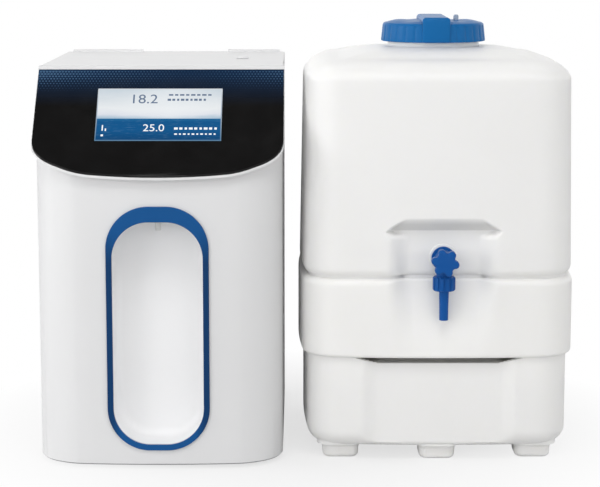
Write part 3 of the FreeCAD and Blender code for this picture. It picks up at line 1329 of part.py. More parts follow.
def legs():
    """Eight short legs: under the corners and under the middle of each side."""
    reach_x = BAND_WIDTH / 2.0 - LOWER_INSET - TANK_BOW
    reach_y = BAND_DEPTH / 2.0 - LOWER_INSET - TANK_BOW
    spots = []
    for side_x in (-1, 0, 1):
        for side_y in (-1, 0, 1):
            if side_x or side_y:
                inset = LEG_CORNER_INSET if side_x and side_y else PANEL_DEPTH
                x = TANK_X + side_x * (reach_x - inset - LEG_WIDTH / 2.0)
                y = TANK_Y + side_y * (reach_y - inset - LEG_WIDTH / 2.0)
                spots.append((x, y))
    half = LEG_WIDTH / 2.0
    blocks = []
    for x, y in spots:
        leg = box(x - half, x + half, y - half, y + half, 0.0, BELLY_HEIGHT + LOWER_FILLET)
        leg = leg.makeFillet(LEG_FILLET, upright_edges(leg, lambda p: True))
        blocks.append(leg.makeFillet(LEG_EDGE_FILLET, edges_at_height(leg, 0.0)))
    return blocks


def bow_offset(x):
    """How far the band's bowed front lies behind its crown at x."""
    half = BAND_WIDTH / 2.0 - TANK_BOW
    return TANK_BOW * ((x - TANK_X) / half) ** 2


def recess_section(half, depth, z, grow):
    """Level slice of the tap recess: open to the front, hollow floor that meets the front at its sides."""
    left = TAP_X - half
    right = TAP_X + half
    ahead = BAND_FRONT - TANK_SETBACK
    start = point(left, BAND_FRONT + bow_offset(left) + grow, z)
    end = point(right, BAND_FRONT + bow_offset(right) + grow, z)
    middle = point(TAP_X, BAND_FRONT + depth + grow, z)
    floor = Part.Arc(start, middle, end).toShape()
    front_left = point(left, ahead, z)
    front_right = point(right, ahead, z)
    return Part.Wire([floor, Part.LineSegment(end, front_right).toShape(),
                      Part.LineSegment(front_right, front_left).toShape(),
                      Part.LineSegment(front_left, start).toShape()])


def tap_recess(grow):
    """Hollow for the tap: overhung roof, straight stretch and a ramp that runs out under the band.

    grow sets it back into the tank, for the wall behind it.
    """
    sections = [recess_section(RAMP_FOOT_HALF + grow, RAMP_FOOT_DEPTH, BAND_BOTTOM - grow, grow),
                recess_section(RECESS_HALF_WIDTH + grow, RECESS_DEPTH, BAND_TOP, grow),
                recess_section(RECESS_HALF_WIDTH + grow, RECESS_DEPTH, RECESS_SHOULDER + grow, grow),
                recess_section(RECESS_TOP_HALF + grow, UPPER_INSET + RAMP_FOOT_DEPTH, RECESS_TOP + grow, grow)]
    return Part.makeLoft(sections, True, True)


def grip_scoop():
    """Finger space under the band at the front, narrower at its bottom."""
    bottom = BAND_BOTTOM - SCOOP_HEIGHT
    inner = SCOOP_HALF_WIDTH - SCOOP_TAPER
    outline = [point(TANK_X - SCOOP_HALF_WIDTH, BAND_FRONT - 1.0, BAND_BOTTOM),
               point(TANK_X - inner, BAND_FRONT - 1.0, bottom),
               point(TANK_X + inner, BAND_FRONT - 1.0, bottom),
               point(TANK_X + SCOOP_HALF_WIDTH, BAND_FRONT - 1.0, BAND_BOTTOM)]
    return prism(outline, Y * (SCOOP_DEPTH + 1.0))


def front_flat():
    """Shallow flat between the corner columns, with drafted sides."""
    front = BAND_FRONT + LOWER_INSET
    back = front + PANEL_DEPTH
    half = PANEL_HALF_WIDTH
    z0 = BELLY_HEIGHT - 1.0
    wide = half + 2.0 * PANEL_DRAFT
    outline = [point(TANK_X - wide, front - PANEL_DEPTH, z0), point(TANK_X - half, back, z0),
               point(TANK_X + half, back, z0), point(TANK_X + wide, front - PANEL_DEPTH, z0)]
    return prism(outline, Z * (BAND_BOTTOM - z0))


def tank_outside():
    groove = tank_block(GROOVE_INSET, BAND_TOP - BAND_TOP_FILLET, BAND_TOP + GROOVE_HEIGHT * 2.0)
    lower = fuse(lower_body(0.0), *legs()).cut(front_flat()).cut(grip_scoop())
    neck = rod(NECK_RADIUS, NECK_TOP - TANK_TOP + TANK_WALL, point(TANK_X, TANK_Y, TANK_TOP - TANK_WALL))
    body = fuse(lower, middle_band(), groove, upper_body(0.0), neck).cut(tap_recess(0.0))
    boss = rod(TAP_BOSS_RADIUS, TAP_BOSS_HEIGHT + TANK_WALL, tap_axis_place(), Y)
    return fuse(body, boss)


def tank_cavity():
    """Inside space, kept a wall away from every recess."""
    lower_front = BAND_FRONT + LOWER_INSET + PANEL_DEPTH + TANK_WALL
    lower = lower_body(TANK_WALL).cut(box(-FAR, FAR, -FAR, lower_front, 0, BAND_BOTTOM + 1.0))
    scoop_back = BAND_FRONT + SCOOP_DEPTH + TANK_WALL
    scoop_wall = box(TANK_X - SCOOP_HALF_WIDTH - TANK_WALL, TANK_X + SCOOP_HALF_WIDTH + TANK_WALL,
                     -FAR, scoop_back, BAND_BOTTOM - SCOOP_HEIGHT - TANK_WALL, BAND_BOTTOM + TANK_WALL)
    middle = tank_block(GROOVE_INSET + TANK_WALL, BAND_BOTTOM - 1.0, BAND_TOP + GROOVE_HEIGHT * 3.0)
    neck = rod(NECK_RADIUS - NECK_WALL, NECK_TOP - TANK_TOP + TANK_WALL * 2.0,
               point(TANK_X, TANK_Y, TANK_TOP - TANK_WALL * 2.0))
    space = fuse(lower, middle, upper_body(TANK_WALL), neck)
    return space.cut(tap_recess(TANK_WALL)).cut(scoop_wall)


def tank_port_spots():
    """Seats of the fill, overflow and draw fittings and of the level transducer on the back wall."""
    seat_y = BAND_BACK - UPPER_INSET + PORT_BOSS_PROUD
    return [point(TANK_X + side * TANK_PORT_X, seat_y, z) for z in (FILL_Z, DRAW_Z) for side in (-1, 1)]


def tank_shell():
    """One hollow moulding with a flat boss and a hole for each thing that passes its wall."""
    shell = tank_outside().cut(tank_cavity())
    bosses = []
    holes = [rod(TAP_THREAD_RADIUS, TANK_WALL * 4.0, tap_axis_place(), Y)]
    for place in tank_port_spots():
        inner_face = place - Y * PORT_BOSS_WALL
        bosses.append(rod(PORT_BOSS_RADIUS, PORT_BOSS_WALL, inner_face, Y))
        holes.append(rod(PORT_BARREL_RADIUS, PORT_BOSS_WALL, inner_face, Y))
    return fuse(shell, *bosses).cut(holes)


def tank_cap():
    """Screw cap: ribbed skirt, domed top, a grip bar across it with a hollow on each side."""
    base = point(TANK_X, TANK_Y, 0)
    outline = [(0, CAP_BOTTOM), (CAP_RADIUS, CAP_BOTTOM), (CAP_TOP_RADIUS, CAP_RIM - CAP_SHOULDER),
               (CAP_TOP_RADIUS - CAP_SHOULDER, CAP_RIM), (CAP_DOME_RADIUS, CAP_RIM + CAP_DOME * 0.6),
               (CAP_DOME_RADIUS * 0.5, CAP_RIM + CAP_DOME * 0.95), (0, CAP_RIM + CAP_DOME)]
    cap = turned(outline, base)
    bar_half = GRIP_WIDTH / 2.0
    bar_radius = CAP_RADIUS + GRIP_PROUD
    bar = box(TANK_X - bar_half, TANK_X + bar_half, TANK_Y - bar_radius, TANK_Y + bar_radius,
              CAP_BOTTOM, GRIP_TOP)
    bar = bar.common(rod(bar_radius, FAR, base))
    bar = bar.makeFillet(GRIP_FILLET, edges_at_height(bar, GRIP_TOP))
    ribs = []
    for i in range(CAP_RIBS):
        angle = 2.0 * math.pi * i / CAP_RIBS
        spot = base + point(CAP_RADIUS * math.cos(angle), CAP_RADIUS * math.sin(angle), CAP_BOTTOM)
        ribs.append(rod(CAP_RIB_RADIUS, CAP_RIM - CAP_BOTTOM, spot))
    cap = fuse(cap.cut(ribs), bar)
    for side in (-1, 1):
        near = bar_half
        far = bar_half + GRIP_POCKET_WIDTH
        x0, x1 = sorted((TANK_X + side * near, TANK_X + side * far))
        pocket = box(x0, x1, TANK_Y - CAP_DOME_RADIUS * 0.8, TANK_Y + CAP_DOME_RADIUS * 0.8,
                     CAP_RIM + CAP_DOME * 0.5 - GRIP_POCKET_DEPTH, FAR)
        cap = cap.cut(pocket.makeFillet(GRIP_FILLET, upright_edges(pocket, lambda p: True)))
    inside = rod(NECK_RADIUS + CAP_NECK_GAP, NECK_TOP + GASKET_THICKNESS + SET_GAP - CAP_BOTTOM + 1.0,
                 base + Z * (CAP_BOTTOM - 1.0))
    return cap.cut(inside)


def cap_gasket():
    return ring(NECK_RADIUS - 0.5, NECK_RADIUS - GASKET_WIDTH, GASKET_THICKNESS - SET_GAP,
                point(TANK_X, TANK_Y, NECK_TOP + SET_GAP))


def cap_vent():
    """Small hydrophobic vent on the cap beside the grip bar."""
    place = point(TANK_X + VENT_OFFSET, TANK_Y, CAP_RIM + CAP_DOME * 0.5 - GRIP_POCKET_DEPTH)
    outline = [(0, 0), (VENT_RADIUS + 1.0, 0), (VENT_RADIUS + 1.0, 3.0), (VENT_RADIUS, 3.6),
               (VENT_RADIUS, VENT_TALL - 1.5), (VENT_RADIUS - 1.5, VENT_TALL), (0, VENT_TALL)]
    return turned(outline, place)


# ================================================================ tap
def tap_axis_place():
    return point(TAP_X, TAP_SEAT_Y, TAP_AXIS_Z)


def tap_wall():
    """Thickness that the tap clamps: the boss and the tank's wall."""
    return TAP_BOSS_HEIGHT + TANK_WALL


def tap_spout_y():
    return TAP_SEAT_Y - TAP_SPOUT_FROM_WALL


def tap_body():
    """Barrel through the tank's wall with its flange, and the branch down to the spout."""
    wall_face = tap_axis_place()
    flange = rod(TAP_FLANGE_RADIUS, TAP_FLANGE_THICKNESS, wall_face - Y * TAP_FLANGE_THICKNESS, Y)
    barrel = rod(TAP_BARREL_RADIUS, TAP_BARREL_LENGTH, wall_face - Y * TAP_BARREL_LENGTH, Y)
    inside = tap_wall() + WASHER_THICKNESS + BACK_NUT_THICKNESS + THREAD_PAST_NUT
    thread = rod(TAP_THREAD_RADIUS, inside, wall_face, Y)
    branch_bottom = COLLAR_TOP - COLLAR_HEIGHT * 0.5
    branch = rod(TAP_BRANCH_RADIUS, TAP_AXIS_Z - branch_bottom, point(TAP_X, tap_spout_y(), branch_bottom))
    body = fuse(flange, barrel, thread, branch)
    waterway = rod(TAP_BORE, TAP_SPOUT_FROM_WALL + inside, point(TAP_X, tap_spout_y(), TAP_AXIS_Z), Y)
    drop = rod(TAP_BORE, TAP_AXIS_Z - branch_bottom, point(TAP_X, tap_spout_y(), branch_bottom))
    spindle_hole = rod(SPINDLE_RADIUS + SPINDLE_FIT, TAP_BARREL_LENGTH,
                       wall_face - Y * TAP_BARREL_LENGTH, Y)
    return body.cut([waterway, drop, spindle_hole])


def tap_gasket():
    inner = TAP_THREAD_RADIUS
    base = tap_axis_place() + Y * tap_wall()
    return ring(TAP_FLANGE_RADIUS - 1.0, inner, WASHER_THICKNESS, base, Y)


def tap_back_nut():
    base = tap_axis_place() + Y * (tap_wall() + WASHER_THICKNESS)
    return hexagon(BACK_NUT_ACROSS, BACK_NUT_THICKNESS, base, Y).cut(rod(TAP_THREAD_RADIUS, BACK_NUT_THICKNESS,
                                                                         base, Y))


def tap_collar_nut():
    """Fluted nut that clamps the spout's flange to the branch."""
    bottom = COLLAR_TOP - COLLAR_HEIGHT
    base = point(TAP_X, tap_spout_y(), bottom)
    edge = COLLAR_EDGE
    mouth = SPOUT_COLLAR_RADIUS - 2.0
    outline = [(mouth, 0), (COLLAR_RADIUS - edge, 0), (COLLAR_RADIUS, edge),
               (COLLAR_RADIUS, COLLAR_HEIGHT - edge), (COLLAR_RADIUS - edge, COLLAR_HEIGHT),
               (TAP_BRANCH_RADIUS, COLLAR_HEIGHT), (TAP_BRANCH_RADIUS, COLLAR_FLOOR), (mouth, COLLAR_FLOOR)]
    nut = turned(outline, base)
    flutes = []
    for i in range(COLLAR_FLUTES):
        angle = 2.0 * math.pi * i / COLLAR_FLUTES
        spot = base + point(COLLAR_RADIUS * math.cos(angle), COLLAR_RADIUS * math.sin(angle), 0)
        flutes.append(rod(COLLAR_FLUTE_RADIUS, COLLAR_HEIGHT, spot))
    return nut.cut(flutes)


def tap_spout():
    """Tapered spout with a flange held in the collar nut."""
    length = SPOUT_LENGTH
    flange_low = COLLAR_FLOOR
    flange_high = COLLAR_HEIGHT * 0.5
    outline = [(SPOUT_BORE, -length), (SPOUT_TIP_RADIUS, -length),
               (SPOUT_TIP_RADIUS, SPOUT_HOSE_LENGTH - length), (SPOUT_TOP_RADIUS, 0),
               (SPOUT_TOP_RADIUS, flange_low), (SPOUT_COLLAR_RADIUS, flange_low),
               (SPOUT_COLLAR_RADIUS, flange_high), (SPOUT_BORE, flange_high)]
    return turned(outline, point(TAP_X, tap_spout_y(), COLLAR_TOP - COLLAR_HEIGHT))


def lobed_outline(count, lobe_centre, lobe_radius, valley_radius):
    """Closed wire of lobes and valleys that run into each other smoothly, about the origin."""
    half = math.pi / count
    reach = lobe_radius + valley_radius
    valley_centre = lobe_centre * math.cos(half) + math.sqrt(reach ** 2 - (lobe_centre * math.sin(half)) ** 2)

    def polar(radius, angle):
        return point(radius * math.cos(angle), radius * math.sin(angle), 0)

    edges = []
    for i in range(count):
        lobe_angle = 2.0 * half * i
        lobe = polar(lobe_centre, lobe_angle)
        before = polar(valley_centre, lobe_angle - half)
        after = polar(valley_centre, lobe_angle + half)
        following = polar(lobe_centre, lobe_angle + 2.0 * half)
        share = lobe_radius / reach
        start = lobe + (before - lobe) * share
        end = lobe + (after - lobe) * share
        restart = following + (after - following) * share
        edges.append(Part.Arc(start, polar(lobe_centre + lobe_radius, lobe_angle), end).toShape())
        edges.append(Part.Arc(end, polar(valley_centre - valley_radius, lobe_angle + half), restart).toShape())
    return Part.Wire(edges)


def tap_knob():
    """Star knob on the spindle's end, rounded on its front."""
    face = Part.Face(lobed_outline(KNOB_LOBES, KNOB_LOBE_CENTRE, KNOB_LOBE_RADIUS, KNOB_VALLEY_RADIUS))
    face.rotate(Z * 0.0, Z, KNOB_TURN)
    knob = face.extrude(Z * KNOB_THICKNESS)
    knob = knob.makeChamfer(KNOB_CHAMFER, edges_at_height(knob, KNOB_THICKNESS))
    boss = rod(KNOB_BOSS_RADIUS, KNOB_BOSS, Z * -KNOB_BOSS)
    knob = fuse(knob, boss).cut(rod(SPINDLE_RADIUS, KNOB_SOCKET, Z * -KNOB_BOSS))
    start = tap_axis_place() - Y * (TAP_BARREL_LENGTH + SET_GAP + KNOB_BOSS)
    turn = FreeCAD.Rotation(Z, Y * -1)
    knob.Placement = FreeCAD.Placement(start, turn)
    return knob


def tap_spindle():
    """Rod from the knob to the sealing plug in front of the branch."""
    knob_end = tap_axis_place() - Y * (TAP_BARREL_LENGTH + SET_GAP + KNOB_SOCKET)
    inner_end = tap_spout_y() + SPINDLE_RADIUS
    return rod(SPINDLE_RADIUS, inner_end - knob_end.y, knob_end, Y)


# ================================================================ every piece
def level_transducer():
    """Pressure transducer in its port, with a short sealed plug at its end."""
    place = tank_port_spots()[3]
    inside = PORT_BOSS_WALL + PORT_INSIDE
    outline = [(0, -inside), (PORT_BARREL_RADIUS, -inside), (PORT_BARREL_RADIUS, 0), (PORT_FLANGE_RADIUS, 0),
               (PORT_FLANGE_RADIUS, TRANSDUCER_FLANGE), (TRANSDUCER_RADIUS, TRANSDUCER_FLANGE),
               (TRANSDUCER_RADIUS, TRANSDUCER_LENGTH), (TRANSDUCER_TIP_RADIUS, TRANSDUCER_LENGTH + 2.0),
               (TRANSDUCER_TIP_RADIUS, TRANSDUCER_LENGTH + TRANSDUCER_TIP),
               (0, TRANSDUCER_LENGTH + TRANSDUCER_TIP)]
    return turned(outline, place, Y)


def pieces():
    parts = {
        "base_tray": base_tray(),
        "rubber_feet": rubber_feet(),
        "front_cover": front_cover(),
        "side_panel_left": side_panel(-1),
        "side_panel_right": side_panel(1),
        "rear_panel": rear_panel(),
        "rear_bridge": rear_bridge(),
        "hinge_pins": hinge_pins(),
        "top_lid": top_lid(),
        "lid_plug": lid_plug(),
        "control_bezel": control_bezel(),
        "control_fascia": control_fascia(),
        "touch_screen": touch_screen(),
        "display_module": display_module(),
        "control_board": control_board(),
        "niche_liner": niche_liner(),
        "niche_frame": niche_frame(),
        "dispense_nozzle": dispense_nozzle(),
        "final_filter": final_filter(),
        "cartridge_deck": cartridge_deck(),
        "head_elbows": head_elbows(),
        "head_tubes": head_tubes(),
        "booster_pump_head": booster_pump_head(),
        "booster_pump_motor": booster_pump_motor(),
        "power_supply": power_supply(),
        "recirculation_pump": recirculation_pump(),
        "valve_manifold": valve_manifold(),
        "solenoid_valves": solenoid_valves(),
        "conductivity_cell": conductivity_cell(),
        "fan_frame": fan_frame(),
        "fan_rotor": fan_rotor(),
        "fan_guard": fan_guard(),
        "cover_screws": cover_screws(),
        "mains_inlet": mains_inlet(),
        "inlet_contacts": inlet_contacts(),
        "power_switch_frame": power_switch_frame(),
        "power_rocker": power_rocker(),
        "tank_shell": tank_shell(),
        "tank_cap": tank_cap(),
        "cap_gasket": cap_gasket(),
        "cap_vent": cap_vent(),
        "tap_body": tap_body(),
        "tap_gasket": tap_gasket(),
        "tap_back_nut": tap_back_nut(),
        "tap_collar_nut": tap_collar_nut(),
        "tap_spout": tap_spout(),
        "tap_knob": tap_knob(),
        "tap_spindle": tap_spindle(),
        "level_transducer": level_transducer(),
    }
    for name, (place, radius) in cartridge_places().items():
        parts[name] = cartridge(place, radius)
    cabinet_ports = cabinet_port_spots()
    tank_ports = tank_port_spots()
    open_tank_ports = tank_ports[:3]
    parts["cabinet_ports"] = Part.makeCompound([bulkhead_fitting(place) for place in cabinet_ports])
    parts["tank_ports"] = Part.makeCompound([bulkhead_fitting(place) for place in open_tank_ports])
    parts["port_collets"] = Part.makeCompound([collet(place) for place in cabinet_ports + open_tank_ports])
    nuts = [bulkhead_nut(place, CABINET_WALL) for place in cabinet_ports]
    nuts += [bulkhead_nut(place, PORT_BOSS_WALL) for place in tank_ports]
    parts["port_nuts"] = Part.makeCompound(nuts)
    return parts


os.makedirs("parts", exist_ok=True)
for node, solid in pieces().items():
    solid.exportStep("parts/" + node + ".step")
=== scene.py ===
"""Looks of a bench-top ultrapure water system and its storage tank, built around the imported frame.

Lengths are millimetres up to put(), which scales a finished mesh to metres. MM does the same for materials.
The panel's sizes, the lamps and the camera are in metres.
"""

import json
import math

import bmesh
import bpy
from bpy.props import FloatProperty, FloatVectorProperty, IntProperty, PointerProperty
from mathutils import Matrix, Vector
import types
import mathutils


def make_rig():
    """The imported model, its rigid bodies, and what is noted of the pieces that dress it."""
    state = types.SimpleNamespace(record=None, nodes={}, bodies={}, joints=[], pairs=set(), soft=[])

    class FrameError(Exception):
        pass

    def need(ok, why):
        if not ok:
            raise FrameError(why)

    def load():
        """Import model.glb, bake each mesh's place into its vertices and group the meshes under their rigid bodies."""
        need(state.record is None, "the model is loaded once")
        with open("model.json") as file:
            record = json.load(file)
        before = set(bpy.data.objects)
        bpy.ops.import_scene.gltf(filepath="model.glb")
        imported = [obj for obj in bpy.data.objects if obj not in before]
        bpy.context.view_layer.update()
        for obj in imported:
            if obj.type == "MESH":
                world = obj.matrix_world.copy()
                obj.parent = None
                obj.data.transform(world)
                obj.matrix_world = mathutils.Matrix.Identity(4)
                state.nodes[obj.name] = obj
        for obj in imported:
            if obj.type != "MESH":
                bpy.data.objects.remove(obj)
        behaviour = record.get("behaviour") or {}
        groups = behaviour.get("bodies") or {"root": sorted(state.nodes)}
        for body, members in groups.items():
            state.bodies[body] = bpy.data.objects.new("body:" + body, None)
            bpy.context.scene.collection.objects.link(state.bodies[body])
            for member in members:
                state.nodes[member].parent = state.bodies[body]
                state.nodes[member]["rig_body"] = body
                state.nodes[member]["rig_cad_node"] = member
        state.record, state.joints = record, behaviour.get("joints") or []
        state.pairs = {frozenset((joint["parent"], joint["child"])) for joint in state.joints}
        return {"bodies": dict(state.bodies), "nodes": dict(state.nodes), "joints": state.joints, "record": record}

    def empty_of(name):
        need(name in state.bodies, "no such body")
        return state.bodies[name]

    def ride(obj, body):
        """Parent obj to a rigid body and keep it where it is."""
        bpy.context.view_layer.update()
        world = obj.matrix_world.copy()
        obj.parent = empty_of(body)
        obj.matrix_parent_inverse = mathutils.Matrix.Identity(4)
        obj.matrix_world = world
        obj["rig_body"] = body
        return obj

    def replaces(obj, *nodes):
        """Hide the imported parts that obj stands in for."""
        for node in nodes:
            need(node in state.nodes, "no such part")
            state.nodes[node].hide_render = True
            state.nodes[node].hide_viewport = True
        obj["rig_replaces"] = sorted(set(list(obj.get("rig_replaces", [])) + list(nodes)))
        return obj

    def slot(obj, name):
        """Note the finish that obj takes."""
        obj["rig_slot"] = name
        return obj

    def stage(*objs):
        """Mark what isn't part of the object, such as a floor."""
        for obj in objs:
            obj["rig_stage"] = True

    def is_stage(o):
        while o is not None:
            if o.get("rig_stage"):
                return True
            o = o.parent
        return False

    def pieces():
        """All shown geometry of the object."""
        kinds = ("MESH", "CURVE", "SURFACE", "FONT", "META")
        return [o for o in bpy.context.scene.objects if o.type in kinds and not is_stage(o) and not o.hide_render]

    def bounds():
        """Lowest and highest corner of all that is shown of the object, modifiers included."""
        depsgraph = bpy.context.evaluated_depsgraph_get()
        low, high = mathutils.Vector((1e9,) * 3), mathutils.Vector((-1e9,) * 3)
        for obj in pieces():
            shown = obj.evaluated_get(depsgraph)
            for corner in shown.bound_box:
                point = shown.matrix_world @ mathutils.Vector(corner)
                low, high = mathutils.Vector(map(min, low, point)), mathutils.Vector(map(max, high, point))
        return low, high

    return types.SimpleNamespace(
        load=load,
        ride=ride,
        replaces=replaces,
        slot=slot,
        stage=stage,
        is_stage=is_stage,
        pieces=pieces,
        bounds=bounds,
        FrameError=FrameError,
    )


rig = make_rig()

bl_info = {
    "name": "Ultrapure water system",
    "version": (1, 0, 0),
    "blender": (4, 5, 0),
    "location": "View3D > Sidebar > Water system",
    "description": "Builds the visible pieces of a bench-top water purifier and its storage tank",
    "category": "Object",
}

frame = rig.load()
CAD_BOX = [list(corner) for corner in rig.bounds()]
SIZE_FILE = "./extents.json"
SLOT_OF = {part["node"]: part["material_slot"] for part in frame["record"]["subparts"]}
MM = 0.001

# ---------------------------------------------------------------- cabinet
CABINET_X = -186.25
CABINET_HALF_WIDTH = 155.0
CABINET_FRONT = -224.8
CABINET_CORNER = 34.0
CASING_CORNER = (60.0, 60.0)   # reach along the front and along the side
HOOD_CORNER = (74.0, 30.0)
HOOD_OUT = 2.5                 # how far the head stands outside the cabinet's sides
HOOD_FRONT = -232.8
CORNER_FADE = (36.0, 92.0)     # behind the front, where the wider corners fade out
CORNER_LIFT = (300.0, 366.0)   # heights between which they begin to climb the slope
SLOPE_FOOT_Z = 371.5
SLOPE = math.radians(45.0)
SCREEN_CENTRE = 99.0           # up the slope from its foot
SCREEN_WIDTH = 158.0
SCREEN_LENGTH = 86.0
MARK_RELIEF = 0.08
HARD_EDGE = 32.0               # degrees from which an edge is rounded
DOT_PITCH = 4.0
# ---------------------------------------------------------------- tank
TANK_X = 166.25
TANK_Y = -23.8
TANK_HALF_WIDTH = 177.5
TANK_HALF_DEPTH = 178.0
TANK_BOW = 9.0
TANK_CORNER = 52.0
TANK_WALL = 4.0
UPPER_INSET = 3.5
LOWER_INSET = 6.5
GROOVE_INSET = 9.0
BAND_FRONT = TANK_Y - TANK_HALF_DEPTH
BELLY_Z = 18.0
BELLY_FILLET = 22.0
BELLY_TOP = BELLY_Z + BELLY_FILLET
BELLY_INSET = LOWER_INSET + BELLY_FILLET
BAND_BOTTOM = 136.0
BAND_FILLET = 5.0
BAND_TOP = 236.0
BAND_TOP_FILLET = 8.5
GROOVE_TOP = 243.0
TANK_TOP = 512.0
SHOULDER_Z = TANK_TOP - 28.0
TOP_INSET = UPPER_INSET + 44.0
TOP_FALL = 3.0                 # the shoulder's end lies lower than the top
TOP_RISE = 8.0                 # and the neck's foot higher
NECK_TOP = 541.5
NECK_RADIUS = 60.0
NECK_BORE = 55.0
NECK_FLARE = 3.5
RECESS_SHOULDER = 297.5        # foot of the recess's roof
RECESS_TOP = 313.0
RECESS_DEPTH = 18.0
RECESS_END_DEPTH = 0.6         # at the band's foot
RECESS_HALF = (62.0, 75.0, 54.0)  # half widths at the band's foot, over the groove and at the roof's top
RECESS_FLAT_SHARE = 0.56       # of the width, before the side walls begin
ROOF_FLAT_SHARE = 0.86
ROOF_BLEND = 2.6
SCOOP_HALF = 110.0
SCOOP_TAPER = 32.0
SCOOP_DEPTH = 27.0
SCOOP_HEIGHT = 8.6
FLAT_HALF_WIDTH = 82.0
FLAT_DEPTH = 8.0
FLAT_DRAFT = 14.0
LEG_HALF = 23.0
LEG_FILLET = 11.0
LEG_FOOT_FILLET = 6.0
LEG_CORNER_INSET = 15.6
# ---------------------------------------------------------------- cap, tap and fittings
CAP_BOTTOM = 527.0
CAP_RIM = 551.5
CAP_RADIUS = 68.5
CAP_TOP_RADIUS = 66.5
CAP_EDGE = 5.0
CAP_DOME = 5.0
CAP_HOLLOW = 2.6               # how far the dome sinks round its middle
CAP_CEILING = NECK_TOP + 3.3
CAP_INSIDE = NECK_RADIUS + 0.8
GROOVE_STEPS = 8               # points round one groove of the skirt
GRIP_TOP = 559.5
GRIP_HALF = (18.0, CAP_RADIUS + 1.5)
GRIP_BOW = 2.1
GRIP_CORNER = 2.2
GRIP_EDGE = 4.6
TAP_X = 171.25
TAP_Z = 262.0
TAP_SEAT_Y = BAND_FRONT + 16.5
TAP_SEAT = (18.5, 9.4, 6.3, 1.2)       # radius, hole, thickness and rounding
REAR_SEAT_Y = TANK_Y + TANK_HALF_DEPTH - UPPER_INSET + 0.5
REAR_SEAT = (13.0, 7.2, 3.0, 0.4)
# name, place across from the tank's middle, height
REAR_SEATS = (("fill", -40.0, 464.0), ("overflow", 40.0, 464.0), ("draw", -40.0, 278.0),
              ("level", 40.0, 278.0))


# ================================================================ mesh helpers
def millimetres(length):
    """Millimetres of a size from the panel's properties."""
    return length / MM


def new_object(name, data):
    made = bpy.data.objects.new(name, data)
    bpy.context.scene.collection.objects.link(made)
    return made


def put(name, bm, body, slot, finish, replaces=(), sharp=35.0, bevel=0.0):
    """Turns a bmesh in millimetres into a piece that rides on a body."""
    bmesh.ops.recalc_face_normals(bm, faces=bm.faces)
    bmesh.ops.scale(bm, vec=(MM, MM, MM), verts=bm.verts)
    mesh = bpy.data.meshes.new(name)
    bm.to_mesh(mesh)
    bm.free()
    mesh.polygons.foreach_set("use_smooth", [True] * len(mesh.polygons))
    mesh.set_sharp_from_angle(angle=math.radians(sharp))
    mesh.materials.append(finish)
    piece = new_object(name, mesh)
    if bevel > 0.0:
        soften(piece, bevel)
    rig.ride(piece, body)
    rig.slot(piece, slot)
    if replaces:
        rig.replaces(piece, *replaces)


def soften(piece, width):
    """Rounds a piece's hard edges without changing its mesh."""
    bevel = piece.modifiers.new("Edge rounding", "BEVEL")
    bevel.width = width
    bevel.segments = 2
    bevel.limit_method = "ANGLE"
    bevel.angle_limit = math.radians(HARD_EDGE)
    bevel.harden_normals = True
    bevel.miter_outer = "MITER_ARC"


def from_node(node, edge, finish=None, shape=None):
    """A merged and tidied copy of a CAD node with rounded edges, standing for that node."""
    source = frame["nodes"][node]
    bm = bmesh.new()
    bm.from_mesh(source.data)
    bmesh.ops.scale(bm, vec=(1.0 / MM, 1.0 / MM, 1.0 / MM), verts=bm.verts)
    bmesh.ops.remove_doubles(bm, verts=bm.verts, dist=0.002)
    bmesh.ops.dissolve_degenerate(bm, edges=bm.edges, dist=0.001)
    bmesh.ops.dissolve_limit(bm, angle_limit=math.radians(0.4), verts=bm.verts, edges=bm.edges,
                             delimit={"NORMAL"})
    if shape:
        shape(bm)
    slot = SLOT_OF[node]
    finish = finish or MATERIALS[slot]
    put(node + "_finished", bm, source["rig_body"], slot, finish, (node,), sharp=30.0, bevel=edge)


def cut(bm, place, normal):
    """Adds vertices where a plane crosses the mesh."""
    bmesh.ops.bisect_plane(bm, geom=bm.verts[:] + bm.edges[:] + bm.faces[:], dist=0.0005,
                           plane_co=place, plane_no=normal)


def widened_corners(out, front, corner):
    """Gives the cabinet's front corners the wider curve of the moulded covers.

    out is how far the piece stands outside the cabinet's plan, front is its foremost place and corner holds
    the new curve's reach along the front and along the side.
    """
    half = CABINET_HALF_WIDTH + out
    narrow = CABINET_CORNER + out
    wide, deep = corner[0] + out, corner[1] + out

    def set_back(x):
        """How much further back the wide corner lies than the narrow one."""
        from_side = max(half - abs(x - CABINET_X), 0.0)

        def lies(across, along):
            share = max(across - from_side, 0.0) / across
            return along * (1.0 - math.sqrt(max(1.0 - share * share, 0.0)))

        return max(lies(wide, deep) - lies(narrow, narrow), 0.0)

    def shape(bm):
        corner_cuts, depth_cuts, height_cuts = 18, 16, 11
        for i in range(1, corner_cuts):
            away = half - wide * (1.0 - math.sin(math.pi / 2.0 * i / corner_cuts))
            for side in (-1, 1):
                cut(bm, (CABINET_X + side * away, 0.0, 0.0), (1.0, 0.0, 0.0))
        for i in range(1, depth_cuts):
            cut(bm, (0.0, front + i * 6.0, 0.0), (0.0, 1.0, 0.0))
        for i in range(height_cuts):
            cut(bm, (0.0, 0.0, CORNER_LIFT[0] + i * 7.0), (0.0, 0.0, 1.0))
        for vertex in bm.verts:
            x, y, z = vertex.co
            shift = set_back(x) * (1.0 - ramp(y - front, *CORNER_FADE))
            vertex.co.y += shift
            vertex.co.z += shift * ramp(z, *CORNER_LIFT)

    return shape


def circle_ring(bm, places):
    """A closed ring of vertices, started from a circle and moved to its places."""
    bmesh.ops.create_circle(bm, cap_ends=False, radius=1.0, segments=len(places))
    ring = list(bm.verts)[-len(places):]
    for vertex, place in zip(ring, places):
        vertex.co = place
    return ring


def ring_edges(bm, ring):
    return [bm.edges.get((ring[i - 1], ring[i])) for i in range(len(ring))]


